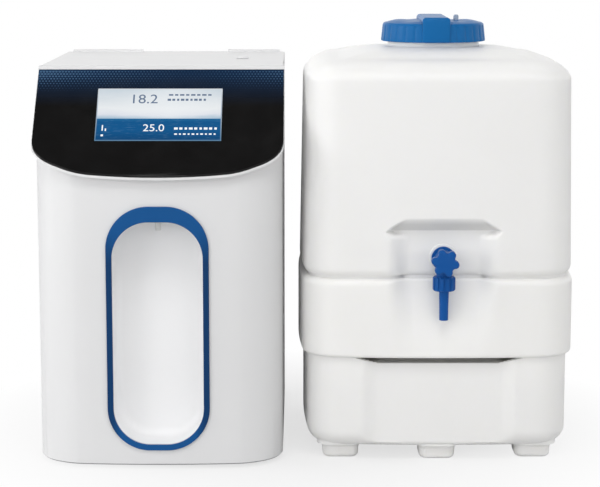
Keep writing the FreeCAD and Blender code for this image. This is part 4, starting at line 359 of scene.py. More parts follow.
def extrude_ring(bm, ring, places):
    """Extrudes a closed ring and moves the new vertices to their places."""
    made = bmesh.ops.extrude_edge_only(bm, edges=ring_edges(bm, ring))
    fresh = {item for item in made["geom"] if isinstance(item, bmesh.types.BMVert)}
    new_ring = []
    for vertex in ring:
        new_ring.append(next(edge.other_vert(vertex) for edge in vertex.link_edges
                             if edge.other_vert(vertex) in fresh))
    for vertex, place in zip(new_ring, places):
        vertex.co = place
    return new_ring


def loft(bm, rings):
    """Closed skin over a list of rings, with a flat face at either end."""
    ring = circle_ring(bm, rings[0])
    first = ring
    for places in rings[1:]:
        ring = extrude_ring(bm, ring, places)
    for end in (first, ring):
        bmesh.ops.contextual_create(bm, geom=ring_edges(bm, end))


def arc_steps(start, end, steps, bulge):
    """Quarter-circle steps between two (height, inset) pairs.

    bulge "height" moves along the height first, "inset" along the inset first.
    """
    made = []
    for i in range(1, steps + 1):
        turn = math.pi / 2.0 * i / steps
        early, late = math.sin(turn), 1.0 - math.cos(turn)
        share_height, share_inset = (early, late) if bulge == "height" else (late, early)
        made.append((start[0] + (end[0] - start[0]) * share_height,
                     start[1] + (end[1] - start[1]) * share_inset))
    return made


def wall_steps(start, end, inset, steps):
    """(height, inset) pairs up or down a straight wall."""
    return [(start + (end - start) * i / steps, inset) for i in range(1, steps + 1)]


def bow_radius(half_chord, bow):
    flat = 1.0e6
    return flat if bow <= 0.0 else (half_chord ** 2 + bow ** 2) / (2.0 * bow)


def bowed_outline(half_x, half_y, bow_front, bow_side, corner, counts):
    """Outline of a rectangle with bowed sides and round corners, about the origin.

    counts are the segments of front, side, back and corner. Gives (point, outward normal) pairs.
    """
    front_count, side_count, back_count, corner_count = counts
    front_radius = bow_radius(half_x - bow_side, bow_front)
    side_radius = bow_radius(half_y - bow_front, bow_side)
    front_middle = Vector((0.0, front_radius - half_y))
    side_middle = Vector((half_x - side_radius, 0.0))
    x = half_x - bow_side - corner
    y = half_y - bow_front - corner
    for _ in range(20):
        x = side_middle.x + math.sqrt((side_radius - corner) ** 2 - y ** 2)
        y = math.sqrt((front_radius - corner) ** 2 - x ** 2) - front_middle.y
    centre = Vector((x, -y))
    low = (centre - front_middle).normalized()
    high = (centre - side_middle).normalized()
    front_turn = math.atan2(low.x, -low.y)
    side_turn = math.atan2(-high.y, high.x)
    quarter = []
    for i in range(corner_count + 1):
        turn = front_turn + (math.pi / 2.0 - side_turn - front_turn) * i / corner_count
        normal = Vector((math.sin(turn), -math.cos(turn)))
        quarter.append((centre + normal * corner, normal))
    mirrored = [(Vector((p.x, -p.y)), Vector((n.x, -n.y))) for p, n in reversed(quarter)]

    def bowed(middle, radius, reach, count, facing):
        """Points between the ends of one bowed side that faces the angle facing."""
        made = []
        for i in range(1, count):
            turn = facing + reach * (2.0 * i / count - 1.0)
            normal = Vector((math.cos(turn), math.sin(turn)))
            made.append((middle + normal * radius, normal))
        return made

    def half_round(count):
        """From the front's left end round to the right side's far corner."""
        front = bowed(front_middle, front_radius, front_turn, count, -math.pi / 2.0)
        side = bowed(side_middle, side_radius, side_turn, side_count, 0.0)
        return front + quarter + side + mirrored

    return half_round(front_count) + [(-p, -n) for p, n in half_round(back_count)]


def turned(profile, steps):
    """Full spin about Z of a chain of (radius, height) points, closed where it meets the axis."""
    bm = bmesh.new()
    chain = [bm.verts.new((radius, 0.0, height)) for radius, height in profile]
    edges = [bm.edges.new(pair) for pair in zip(chain, chain[1:])]
    bmesh.ops.spin(bm, geom=chain + edges, cent=(0, 0, 0), axis=(0, 0, 1), angle=math.tau,
                   steps=steps, use_merge=True)
    bmesh.ops.remove_doubles(bm, verts=bm.verts, dist=0.0005)
    bmesh.ops.recalc_face_normals(bm, faces=bm.faces)
    return bm


def rounded_profile(corners, steps=4):
    """A (radius, height) chain with each listed corner rounded by its third number."""
    made = []
    for i, (radius, height, fillet) in enumerate(corners):
        here = Vector((radius, height))
        if fillet <= 0.0 or i in (0, len(corners) - 1):
            made.append((radius, height))
            continue
        before = (Vector(corners[i - 1][:2]) - here).normalized()
        after = (Vector(corners[i + 1][:2]) - here).normalized()
        start, end = here + before * fillet, here + after * fillet
        for step in range(steps + 1):
            t = step / steps
            spot = start * (1 - t) ** 2 + here * 2 * t * (1 - t) + end * t ** 2
            made.append((spot.x, spot.y))
    return made


def smooth_max(a, b, reach):
    near = max(reach - abs(a - b), 0.0) / reach
    return max(a, b) + near * near * reach * 0.25


def ramp(value, low, high):
    """Soft step from 0 at low to 1 at high."""
    share = min(max((value - low) / (high - low), 0.0), 1.0)
    return share * share * (3.0 - 2.0 * share)


# ================================================================ shader helpers
class Shader:
    """Short names for building one node tree."""

    def __init__(self, tree):
        self.tree = tree
        self.column = 0

    def add(self, kind, **settings):
        made = self.tree.nodes.new(kind)
        made.location = (self.column * 180, -120 * (self.column % 3))
        self.column += 1
        for key, value in settings.items():
            setattr(made, key, value)
        return made

    def feed(self, socket, value):
        """Links a socket or sets a constant."""
        if isinstance(value, bpy.types.NodeSocket):
            self.tree.links.new(value, socket)
        elif value is not None:
            socket.default_value = value

    def sum(self, kind, a, b=None, clamp=False):
        made = self.add("ShaderNodeMath", operation=kind, use_clamp=clamp)
        for socket, value in zip(made.inputs, (a, b)):
            self.feed(socket, value)
        return made.outputs[0]

    def product(self, *values):
        result = values[0]
        for value in values[1:]:
            result = self.sum("MULTIPLY", result, value)
        return result

    def away(self, value, middle):
        """Distance of a coordinate from its middle."""
        return self.sum("ABSOLUTE", self.sum("SUBTRACT", value, middle))

    def place(self):
        return self.add("ShaderNodeTexCoord").outputs["Object"]

    def moved(self, vector, location=(0, 0, 0), rotation=(0, 0, 0), scale=(1, 1, 1)):
        """A point in the axes of something that stands at location, turned and scaled."""
        made = self.add("ShaderNodeMapping", vector_type="TEXTURE")
        self.feed(made.inputs["Vector"], vector)
        made.inputs["Location"].default_value = location
        made.inputs["Rotation"].default_value = rotation
        made.inputs["Scale"].default_value = scale
        return made.outputs[0]

    def split(self, vector):
        made = self.add("ShaderNodeSeparateXYZ")
        self.feed(made.inputs[0], vector)
        return made.outputs

    def noise(self, vector, scale, detail=2.0, roughness=0.5):
        made = self.add("ShaderNodeTexNoise")
        self.feed(made.inputs["Vector"], vector)
        self.feed(made.inputs["Scale"], scale)
        made.inputs["Detail"].default_value = detail
        made.inputs["Roughness"].default_value = roughness
        return made.outputs[0]

    def remap(self, value, low, high, to_low, to_high):
        made = self.add("ShaderNodeMapRange")
        for socket, number in zip(made.inputs, (value, low, high, to_low, to_high)):
            self.feed(socket, number)
        return made.outputs[0]

    def rise(self, value, low, high):
        """From 0 at low to 1 at high, both in millimetres."""
        return self.remap(value, low * MM, high * MM, 0.0, 1.0)

    def fall(self, value, low, high):
        """From 1 at low to 0 at high, both in millimetres."""
        return self.remap(value, low * MM, high * MM, 1.0, 0.0)

    def blend(self, share, a, b, kind="MIX"):
        made = self.add("ShaderNodeMix", data_type="RGBA", blend_type=kind)
        self.feed(made.inputs["Factor"], share)
        self.feed(made.inputs[6], a)
        self.feed(made.inputs[7], b)
        return made.outputs[2]

    def darkened(self, colour, level):
        """A colour times a grey level."""
        grey = self.add("ShaderNodeCombineColor")
        for socket in grey.inputs:
            self.feed(socket, level)
        return self.blend(1.0, colour, grey.outputs[0], "MULTIPLY")

    def bands(self, value, stops):
        made = self.add("ShaderNodeValToRGB")
        self.feed(made.inputs[0], value)
        elements = made.color_ramp.elements
        while len(elements) < len(stops):
            elements.new(0.5)
        for element, (position, colour) in zip(elements, stops):
            element.position = position
            element.color = (*colour, 1.0)
        return made.outputs[0]

    def bump(self, height, distance):
        made = self.add("ShaderNodeBump")
        made.inputs["Strength"].default_value = 1.0
        made.inputs["Distance"].default_value = distance
        self.feed(made.inputs["Height"], height)
        return made.outputs[0]

    def group(self, tree, **values):
        made = self.add("ShaderNodeGroup", node_tree=tree)
        for key, value in values.items():
            self.feed(made.inputs[key], value)
        return made.outputs


def new_group(name, inputs):
    """An empty shared effect with its input sockets, (name, kind, default), and the three that it gives."""
    tree = bpy.data.node_groups.new(name, "ShaderNodeTree")
    for label, kind, default in inputs:
        socket = tree.interface.new_socket(label, in_out="INPUT", socket_type="NodeSocket" + kind)
        socket.default_value = default
    for label, kind in (("Colour", "Color"), ("Roughness", "Float"), ("Height", "Float")):
        tree.interface.new_socket(label, in_out="OUTPUT", socket_type="NodeSocket" + kind)
    shader = Shader(tree)
    return tree, shader, shader.add("NodeGroupInput").outputs, shader.add("NodeGroupOutput").inputs


def moulded_group():
    """Fine moulded grain with slow changes of tone, for plastics."""
    tree, s, given, result = new_group(
        "Moulded surface",
        [("Colour", "Color", (0.8, 0.8, 0.8, 1.0)), ("Grain", "Float", 1500.0), ("Roughness", "Float", 0.4),
         ("Spread", "Float", 0.08), ("Tone", "Float", 0.03)])
    place = s.place()
    broad = s.noise(place, 7.0, 2.0, 0.5)
    handled = s.noise(place, 48.0, 4.0, 0.6)
    level = s.remap(broad, 0.3, 0.7, 1.0, s.sum("SUBTRACT", 1.0, given["Tone"]))
    s.feed(result["Colour"], s.darkened(given["Colour"], level))
    spread = s.sum("MULTIPLY", s.remap(handled, 0.25, 0.75, -0.5, 0.5), given["Spread"])
    s.feed(result["Roughness"], s.sum("ADD", given["Roughness"], spread, clamp=True))
    s.feed(result["Height"], s.noise(place, given["Grain"], 3.0, 0.55))
    return tree


def metal_group():
    """Drawn or brushed metal: fine lines along one axis and handling marks."""
    tree, s, given, result = new_group(
        "Drawn metal",
        [("Colour", "Color", (0.6, 0.6, 0.6, 1.0)), ("Lines", "Float", 900.0), ("Roughness", "Float", 0.35)])
    place = s.place()
    lines = s.noise(s.moved(place, scale=(1.0, 40.0, 1.0)), given["Lines"], 2.0, 0.6)
    marks = s.remap(s.noise(place, 60.0, 5.0, 0.65), 0.3, 0.7, -0.08, 0.1)
    s.feed(result["Colour"], s.darkened(given["Colour"], s.remap(lines, 0.3, 0.7, 0.9, 1.0)))
    s.feed(result["Roughness"], s.sum("ADD", given["Roughness"], marks, clamp=True))
    s.feed(result["Height"], lines)
    return tree


def new_material(name):
    material = bpy.data.materials.new(name)
    material.use_nodes = True
    return material, Shader(material.node_tree), material.node_tree.nodes["Principled BSDF"].inputs


def rgba(colour):
    return (colour[0], colour[1], colour[2], 1.0)


def wear(s, skin, made, relief):
    """Feeds what a shared effect gives into a surface; relief is the depth of its grain in metres."""
    s.feed(skin["Base Color"], made["Colour"])
    s.feed(skin["Roughness"], made["Roughness"])
    s.feed(skin["Normal"], s.bump(made["Height"], relief))


def moulded(s, skin, ground, roughness, grain, relief, tone=0.03, specular=0.5, milky=0.0, reach=4.0):
    """Plastic skin with its grain in the bump and the gloss; milky plastic lets light in as far as reach."""
    made = s.group(GROUPS["moulded"], Colour=ground, Grain=grain, Roughness=roughness, Spread=0.08,
                   Tone=tone)
    wear(s, skin, made, relief)
    skin["Specular IOR Level"].default_value = specular
    if milky > 0.0:
        skin["Subsurface Weight"].default_value = milky
        skin["Subsurface Radius"].default_value = (reach * MM, reach * MM, (reach - 0.5) * MM)
        skin["Subsurface Scale"].default_value = 1.0


def plastic(name, colour, roughness, grain, relief, coat=0.0, **further):
    material, s, skin = new_material(name)
    moulded(s, skin, rgba(colour), roughness, grain, relief, **further)
    skin["Coat Weight"].default_value = coat
    skin["Coat Roughness"].default_value = 0.08
    return material


def metal(name, colour, roughness, lines, metallic):
    material, s, skin = new_material(name)
    made = s.group(GROUPS["metal"], Colour=rgba(colour), Lines=lines, Roughness=roughness)
    wear(s, skin, made, 0.00001)
    skin["Metallic"].default_value = metallic
    return material


def slope_axes(s):
    """x across, y up and z out of the slanted face, in metres from the middle of its foot."""
    foot = (CABINET_X * MM, HOOD_FRONT * MM, SLOPE_FOOT_Z * MM)
    return s.moved(s.place(), foot, (SLOPE, 0.0, 0.0))


def tank_material(colours):
    """Milky polyethylene, with painted shade darkening the inside of the grip scoop and the recess's roof."""
    material, s, skin = new_material("Tank plastic")
    x, y, z = s.split(s.place())
    away = s.away(x, TANK_X * MM)
    in_front = s.fall(y, BAND_FRONT + 27.0, BAND_FRONT + 32.0)
    # painted shade: the deep back of the grip scoop, just under the band, pulled towards the shade colour
    scoop = s.product(s.fall(away, SCOOP_HALF - 10.0, SCOOP_HALF - 1.0),
                      s.rise(y, BAND_FRONT + 14.6, BAND_FRONT + 16.4), in_front,
                      s.rise(z, BAND_BOTTOM - 9.0, BAND_BOTTOM - 6.0),
                      s.fall(z, BAND_BOTTOM, BAND_BOTTOM + 1.5), 0.92)
    # painted shade: the downward-facing roof of the tap recess, darkened a little
    roof = s.product(s.fall(away, 80.0, 86.0), s.rise(y, BAND_FRONT + 5.0, BAND_FRONT + 10.0), in_front,
                     s.rise(z, RECESS_SHOULDER - 0.4, RECESS_SHOULDER + 0.6),
                     s.fall(z, RECESS_TOP, RECESS_TOP + 1.0), 0.2)
    # the painted-shade masks pull the tank colour towards the shade colour
    ground = s.blend(s.sum("ADD", scoop, roof), rgba(colours.tank), rgba(colours.tank_shade))
    moulded(s, skin, ground, 0.45, 420.0, 0.00004, tone=0.015, milky=0.5, reach=6.0)
    return material


def frame_material(colours):
    """Blue frame, with painted shade making it darker down its two sides than along its arch."""
    material, s, skin = new_material("Blue frame")
    x, _, z = s.split(s.place())
    # painted shade: the frame's sides, below the arch, pulled towards a darker blue
    sides = s.product(s.rise(s.away(x, CABINET_X * MM), 46.0, 58.0), s.fall(z, 262.0, 306.0), 0.8)
    ground = s.blend(sides, rgba(colours.frame), rgba(colours.frame_side))
    moulded(s, skin, ground, 0.34, 1800.0, 0.000006, tone=0.06, specular=0.12)
    return material


def fascia_material(colours):
    """Gloss black that turns navy towards its top edge, under a halftone of pale dots."""
    material, s, skin = new_material("Black fascia")
    up = slope_axes(s)
    x, y, _ = s.split(up)
    navy = s.sum("POWER", s.rise(y, 112.0, 166.0), 1.2)
    ground = s.blend(navy, rgba(colours.fascia), rgba(colours.fascia_glow))
    cells = s.add("ShaderNodeVectorMath", operation="DIVIDE")
    s.feed(cells.inputs[0], up)
    cells.inputs[1].default_value = (DOT_PITCH * MM,) * 3
    cell_x, cell_y, _ = s.split(cells.outputs[0])
    every_other = s.sum("MULTIPLY", s.sum("FLOORED_MODULO", s.sum("FLOOR", cell_y), 2.0), 0.5)
    from_x = s.sum("SUBTRACT", s.sum("FRACT", s.sum("ADD", cell_x, every_other)), 0.5)
    from_y = s.sum("SUBTRACT", s.sum("FRACT", cell_y), 0.5)
    away = s.sum("SQRT", s.sum("ADD", s.product(from_x, from_x), s.product(from_y, from_y)))
    fade_left = s.remap(x, -0.15, 0.03, 1.0, 0.4)
    fade_right = s.remap(x, 0.05, 0.155, 0.0, 0.4)
    across = s.sum("ADD", fade_left, fade_right)
    size = s.product(across, s.rise(y, 134.0, 166.0), 0.42)
    dots = s.sum("LESS_THAN", away, size)
    s.feed(skin["Base Color"], s.blend(s.product(dots, across, 0.7), ground, rgba(colours.fascia_dots)))
    s.feed(skin["Roughness"], s.remap(s.noise(s.place(), 30.0, 5.0, 0.6), 0.3, 0.75, 0.14, 0.26))
    skin["Specular IOR Level"].default_value = 0.3
    return material


def glow(s, skin, picture, strength):
    """Shows a picture as light, nearly black under it."""
    s.feed(skin["Base Color"], s.blend(0.9, picture, (0.0, 0.0, 0.0, 1.0)))
    s.feed(skin["Emission Color"], picture)
    skin["Emission Strength"].default_value = strength


def screen_material(colours):
    """Lit display: pale sky over a horizon, blue water below, a bright thin border."""
    material, s, skin = new_material("Lit screen")
    up = slope_axes(s)
    x, y, _ = s.split(up)
    rise = s.sum("SUBTRACT", y, SCREEN_CENTRE * MM)
    level = s.rise(rise, SCREEN_LENGTH / -2.0, SCREEN_LENGTH / 2.0)
    clouds = s.noise(s.moved(up, scale=(1.0, 0.3, 1.0)), 20.0, 5.0, 0.55)
    waved = s.sum("ADD", level, s.sum("MULTIPLY", s.remap(clouds, 0.3, 0.7, -0.05, 0.05), level))
    sky = s.bands(waved, [(0.0, (0.42, 0.56, 0.68)), (0.43, (0.42, 0.56, 0.68)), (0.49, (0.74, 0.77, 0.84)),
                          (0.6, (0.83, 0.86, 0.88)), (0.8, (0.72, 0.77, 0.81)), (1.0, (0.58, 0.66, 0.73))])
    sky = s.blend(s.remap(s.away(x, 0.015), 0.0, 0.07, 0.5, 0.0), sky, (0.90, 0.93, 0.95, 1.0))
    water = s.bands(level, [(0.0, tuple(colours.screen_deep)), (0.2, tuple(colours.screen_water)),
                            (0.36, tuple(colours.screen_water)), (0.42, (0.02, 0.15, 0.34))])
    glint = s.remap(s.noise(s.moved(up, scale=(1.0, 0.1, 1.0)), 70.0, 4.0, 0.7), 0.55, 0.75, 0.0, 0.2)
    water = s.blend(glint, water, (0.35, 0.58, 0.78, 1.0))
    picture = s.blend(s.sum("LESS_THAN", level, 0.42), sky, water)
    inside_x = s.sum("LESS_THAN", s.sum("ABSOLUTE", x), (SCREEN_WIDTH / 2.0 - 1.4) * MM)
    inside_y = s.sum("LESS_THAN", s.sum("ABSOLUTE", rise), (SCREEN_LENGTH / 2.0 - 1.8) * MM)
    border = s.blend(level, (0.10, 0.22, 0.36, 1.0), (0.66, 0.70, 0.74, 1.0))
    glow(s, skin, s.blend(s.product(inside_x, inside_y), border, picture), 0.86)
    s.feed(skin["Roughness"], s.remap(s.noise(s.place(), 26.0, 5.0, 0.6), 0.3, 0.75, 0.1, 0.2))
    skin["Specular IOR Level"].default_value = 0.2
    return material


def lit_material(name, colour):
    """Lit mark on the screen; a slow change of brightness keeps it from looking printed."""
    material, s, skin = new_material(name)
    level = s.remap(s.noise(s.place(), 90.0), 0.3, 0.7, 0.94, 1.0)
    glow(s, skin, s.darkened(rgba(colour), level), 1.0)
    skin["Roughness"].default_value = 0.2
    return material


def board_material(colours):
    """Solder-resist green with copper runs and pads."""
    material, s, skin = new_material("Circuit board")
    up = slope_axes(s)
    brick = s.add("ShaderNodeTexBrick", offset=0.5)
    s.feed(brick.inputs["Vector"], up)
    for name, size in (("Scale", 1.0), ("Brick Width", 0.011), ("Row Height", 0.0042),
                       ("Mortar Size", 0.0004)):
        brick.inputs[name].default_value = size
    runs = s.noise(up, 160.0, 3.0, 0.5)
    shown = s.sum("MULTIPLY", brick.outputs["Fac"], s.sum("GREATER_THAN", runs, 0.45))
    s.feed(skin["Base Color"], s.blend(shown, rgba(colours.board), (0.10, 0.34, 0.13, 1.0)))
    s.feed(skin["Roughness"], s.remap(runs, 0.3, 0.7, 0.3, 0.45))
    s.feed(skin["Normal"], s.bump(brick.outputs["Fac"], 0.00003))
    return material


GROUPS = {}
MATERIALS = {}
# slot, name, colour or the property that holds it, roughness, grain, its depth in metres, further settings
PLASTICS = (
    ("white_casing", "White casing", "casing", 0.4, 1700.0, 0.00002, {"tone": 0.025}),
    # painted light: the niche's white is a brighter copy of the casing white, lifting the niche's inside out of its
    # shade
    ("niche_white_painted_light", "White niche", "niche", 0.36, 1700.0, 0.00001, {"tone": 0.02}),
    ("rear_sheet", "Painted sheet", "sheet", 0.48, 900.0, 0.00005, {"tone": 0.04}),
    ("blue_cap", "Blue cap", "cap", 0.36, 1500.0, 0.00002, {"tone": 0.06, "specular": 0.12}),
    ("blue_tap", "Blue tap", "tap", 0.36, 1500.0, 0.00002, {"tone": 0.07, "specular": 0.12}),
    ("rubber", "Rubber", (0.02, 0.02, 0.02), 0.75, 2200.0, 0.00004, {"tone": 0.2}),
    ("tray_metal", "Painted tray", (0.3, 0.3, 0.31), 0.5, 1100.0, 0.00004, {"tone": 0.06}),
    ("vessel_white", "Vessel", (0.78, 0.79, 0.8), 0.28, 900.0, 0.00002, {"coat": 0.2}),
    ("vent_grey", "Vent", (0.30, 0.37, 0.48), 0.4, 1500.0, 0.00002, {}),
    ("fitting_white", "Fitting", (0.72, 0.72, 0.7), 0.42, 1500.0, 0.00002, {}),
    ("tube", "Tube", (0.62, 0.68, 0.75), 0.18, 900.0, 0.00001, {"coat": 0.4, "milky": 0.3}),
    ("black_plastic", "Black plastic", (0.022, 0.022, 0.024), 0.42, 1300.0, 0.00003, {"tone": 0.1}),
    ("collet", "Collet", (0.03, 0.1, 0.36), 0.35, 1500.0, 0.00002, {}))
# slot, name, colour, roughness, density of the drawn lines, metallic share
METALS = (
    ("steel", "Steel", (0.62, 0.62, 0.63), 0.28, 900.0, 1.0),
    ("module_metal", "Module case", (0.62, 0.63, 0.65), 0.42, 500.0, 1.0),
    ("motor_metal", "Motor paint", (0.045, 0.045, 0.05), 0.4, 1200.0, 0.2),
    ("contact", "Contact", (0.78, 0.58, 0.28), 0.26, 1500.0, 1.0))


def make_materials(colours):
    """Every finish, by the name of its slot in the record."""
    GROUPS["moulded"] = moulded_group()
    GROUPS["metal"] = metal_group()
    for slot, name, colour, roughness, grain, relief, further in PLASTICS:
        colour = getattr(colours, colour) if isinstance(colour, str) else colour
        MATERIALS[slot] = plastic(name, colour, roughness, grain, relief, **further)
    for slot, *settings in METALS:
        MATERIALS[slot] = metal(*settings)
    MATERIALS["black_fascia"] = fascia_material(colours)
    MATERIALS["screen"] = screen_material(colours)
    MATERIALS["screen_light"] = lit_material("Lit mark", (0.93, 0.96, 0.98))
    MATERIALS["screen_ink"] = lit_material("Dark mark", (0.12, 0.17, 0.26))
    MATERIALS["blue_frame"] = frame_material(colours)
    MATERIALS["tank_plastic"] = tank_material(colours)
    MATERIALS["board"] = board_material(colours)


# ================================================================ sizes and colours
class WaterSizes(bpy.types.PropertyGroup):
    """Sizes of details that the frame leaves open."""
    edge: FloatProperty(name="Casing edge", description="Rounding of the casing's edges",
                        default=0.0007, min=0.0, unit="LENGTH")
    small_edge: FloatProperty(name="Fitting edge", description="Rounding of small fittings' edges",
                              default=0.0003, min=0.0, unit="LENGTH")
    recess_blend: FloatProperty(name="Recess blend", description="How softly the tap recess meets the tank",
                                default=0.007, min=0.001, unit="LENGTH")
    tank_taper: FloatProperty(name="Tank taper", description="How much the tank narrows towards its shoulder",
                              default=0.0025, min=0.0, unit="LENGTH")
    leg_flare: FloatProperty(name="Leg flare", description="How far a tank leg widens at its root",
                             default=0.007, min=0.0, unit="LENGTH")
    cap_ribs: IntProperty(name="Cap grooves", description="Grooves round the cap's skirt", default=30, min=6)
    rib_depth: FloatProperty(name="Groove depth", description="Depth of the grooves in the cap's skirt",
                             default=0.0011, min=0.0, unit="LENGTH")


class WaterColours(bpy.types.PropertyGroup):
    """Colours of the finishes."""
    casing: FloatVectorProperty(name="Casing", description="White casing", subtype="COLOR",
                                default=(0.72, 0.72, 0.725), min=0.0, max=1.0)
    # painted light: a brighter copy of the casing white for the niche's inside
    niche: FloatVectorProperty(name="Niche", description="White niche", subtype="COLOR",
                               default=(0.88, 0.88, 0.885), min=0.0, max=1.0)
    sheet: FloatVectorProperty(name="Rear sheet", description="Painted rear panel", subtype="COLOR",
                               default=(0.68, 0.68, 0.69), min=0.0, max=1.0)
    tank: FloatVectorProperty(name="Tank", description="Milky tank plastic", subtype="COLOR",
                              default=(0.86, 0.855, 0.84), min=0.0, max=1.0)
    # painted shade colour for the grip scoop and the recess's roof, not a colour of the plastic itself
    tank_shade: FloatVectorProperty(name="Tank shade", description="Dull shade inside the grip scoop",
                                    subtype="COLOR", default=(0.16, 0.155, 0.135), min=0.0, max=1.0)
    fascia: FloatVectorProperty(name="Fascia", description="Black fascia", subtype="COLOR",
                                default=(0.0058, 0.0056, 0.0056), min=0.0, max=1.0)
    fascia_glow: FloatVectorProperty(name="Fascia edge", description="Navy along the fascia's top",
                                     subtype="COLOR", default=(0.006, 0.020, 0.052), min=0.0, max=1.0)
    fascia_dots: FloatVectorProperty(name="Fascia dots", description="Halftone dots", subtype="COLOR",
                                     default=(0.07, 0.15, 0.27), min=0.0, max=1.0)
    screen_water: FloatVectorProperty(name="Screen water", description="Lower part of the picture",
                                      subtype="COLOR", default=(0.008, 0.098, 0.27), min=0.0, max=1.0)
    screen_deep: FloatVectorProperty(name="Screen deep", description="Bottom of the picture",
                                     subtype="COLOR", default=(0.006, 0.062, 0.18), min=0.0, max=1.0)
    frame: FloatVectorProperty(name="Niche frame", description="Blue frame", subtype="COLOR",
                               default=(0.008, 0.085, 0.27), min=0.0, max=1.0)
    # painted shade colour for the frame's sides
    frame_side: FloatVectorProperty(name="Frame sides", description="Blue frame down its sides",
                                    subtype="COLOR", default=(0.004, 0.030, 0.10), min=0.0, max=1.0)
    cap: FloatVectorProperty(name="Cap", description="Blue cap", subtype="COLOR",
                             default=(0.006, 0.122, 0.345), min=0.0, max=1.0)
    tap: FloatVectorProperty(name="Tap", description="Blue tap", subtype="COLOR",
                             default=(0.007, 0.085, 0.32), min=0.0, max=1.0)
    board: FloatVectorProperty(name="Board", description="Circuit board", subtype="COLOR",
                               default=(0.01, 0.13, 0.05), min=0.0, max=1.0)


# ================================================================ operators
class PieceOperator:
    """Shared run of an operator: it builds, or it says why it can't."""
    bl_options = {"REGISTER", "UNDO"}

    def execute(self, context):
        try:
            self.build(context.scene.water_sizes, context.scene.water_colours)
        except (KeyError, ValueError, RuntimeError, StopIteration) as problem:
            raise RuntimeError(f"{self.bl_label} could not be finished: {problem}") from problem
        return {"FINISHED"}


class NodeOperator(PieceOperator):
    """Finishes a list of the frame's nodes as they are."""

    def build(self, sizes, colours):
        for node in self.nodes:
            from_node(node, sizes.small_edge)


class WATER_OT_finishes(PieceOperator, bpy.types.Operator):
    """Makes every finish"""
    bl_idname = "water.finishes"
    bl_label = "Finishes"

    def build(self, sizes, colours):
        make_materials(colours)


class WATER_OT_covers(PieceOperator, bpy.types.Operator):
    """Builds the cabinet's white covers, rear panel and base tray"""
    bl_idname = "water.covers"
    bl_label = "Cabinet covers"

    def build(self, sizes, colours):
        corners = widened_corners(0.0, CABINET_FRONT, CASING_CORNER)
        from_node("front_cover", sizes.edge, shape=corners)
        for node in ("side_panel_left", "side_panel_right", "rear_bridge"):
            from_node(node, sizes.edge)
        from_node("rear_panel", sizes.small_edge)
        from_node("base_tray", sizes.small_edge, shape=corners)


class WATER_OT_lid(PieceOperator, bpy.types.Operator):
    """Builds the top lid with its knuckles, pins and plug"""
    bl_idname = "water.lid"
    bl_label = "Top lid"

    def build(self, sizes, colours):
        from_node("top_lid", sizes.edge)
        from_node("lid_plug", sizes.small_edge)
        from_node("hinge_pins", sizes.small_edge)


class WATER_OT_head(PieceOperator, bpy.types.Operator):
    """Builds the slanted control head with its fascia"""
    bl_idname = "water.head"
    bl_label = "Control head"

    def build(self, sizes, colours):
        corners = widened_corners(HOOD_OUT, HOOD_FRONT, HOOD_CORNER)
        for node in ("control_bezel", "control_fascia"):
            from_node(node, sizes.small_edge, shape=corners)
        for node in ("display_module", "control_board"):
            from_node(node, sizes.small_edge)


class WATER_OT_screen(PieceOperator, bpy.types.Operator):
    """Builds the lit screen and the plain marks on it"""
    bl_idname = "water.screen"
    bl_label = "Touch screen"

    def build(self, sizes, colours):
        from_node("touch_screen", sizes.small_edge)
        dark, light = MATERIALS["screen_ink"], MATERIALS["screen_light"]
        upper = [(14 + 7.0 * i, 32, 5.6 - i % 2 * 1.4, 2.6) for i in range(8)]
        upper += [(12 + 5.6 * i, 24, 4.4 - i % 3 * 0.8, 3.4) for i in range(9)]
        lower = [(22 + 6.2 * i, -23, 4.6 - i % 3 * 0.8, 3.4) for i in range(9)]
        lower += [(22 + 5.4 * i, -32, 3.4 - i % 2 * 1.0, 2.2) for i in range(10)]
        lower += [(-70, -22, 1.6, 9.0), (-66, -25, 1.6, 4.0), (-70, -34, 3.0, 3.0)]
        self.place_mark("screen_reading_upper", number("18.2", 21.0, -20.0, 24.5), dark)
        self.place_mark("screen_reading_lower", number("25.0", 16.0, -6.0, -22.5), light)
        self.place_mark("screen_lines_upper", bars(upper), dark)
        self.place_mark("screen_lines_lower", bars(lower), light)

    def place_mark(self, name, bm, finish):
        """Lays a mark made on the slope's own axes onto the screen."""
        bmesh.ops.translate(bm, vec=(0.0, SCREEN_CENTRE, 0.0), verts=bm.verts)
        bmesh.ops.rotate(bm, cent=(0, 0, 0), matrix=Matrix.Rotation(SLOPE, 3, "X"), verts=bm.verts)
        bmesh.ops.translate(bm, vec=(CABINET_X, HOOD_FRONT, SLOPE_FOOT_Z), verts=bm.verts)
        put(name, bm, "base", "screen", finish)


def number(text, size, x, y):
    """Thin raised digits centred on a place."""
    curve = bpy.data.curves.new("digits", "FONT")
    curve.body = text
    curve.size = size
    curve.extrude = MARK_RELIEF / 2.0
    curve.resolution_u = 4
    curve.align_x = "CENTER"
    curve.align_y = "CENTER"
    holder = new_object("digits", curve)
    mesh = bpy.data.meshes.new_from_object(holder.evaluated_get(bpy.context.evaluated_depsgraph_get()))
    bm = bmesh.new()
    bm.from_mesh(mesh)
    bpy.data.objects.remove(holder)
    bpy.data.curves.remove(curve)
    bpy.data.meshes.remove(mesh)
    bmesh.ops.remove_doubles(bm, verts=bm.verts, dist=0.001)
    bmesh.ops.translate(bm, vec=(x, y, 0.0), verts=bm.verts)
    return bm


def bars(places):
    """Thin raised bars from (x, y, width, height)."""
    bm = bmesh.new()
    for x, y, width, height in places:
        made = bmesh.ops.create_cube(bm, size=1.0)["verts"]
        bmesh.ops.scale(bm, vec=(width, height, MARK_RELIEF), verts=made)
        bmesh.ops.translate(bm, vec=(x, y, 0.0), verts=made)
    return bm


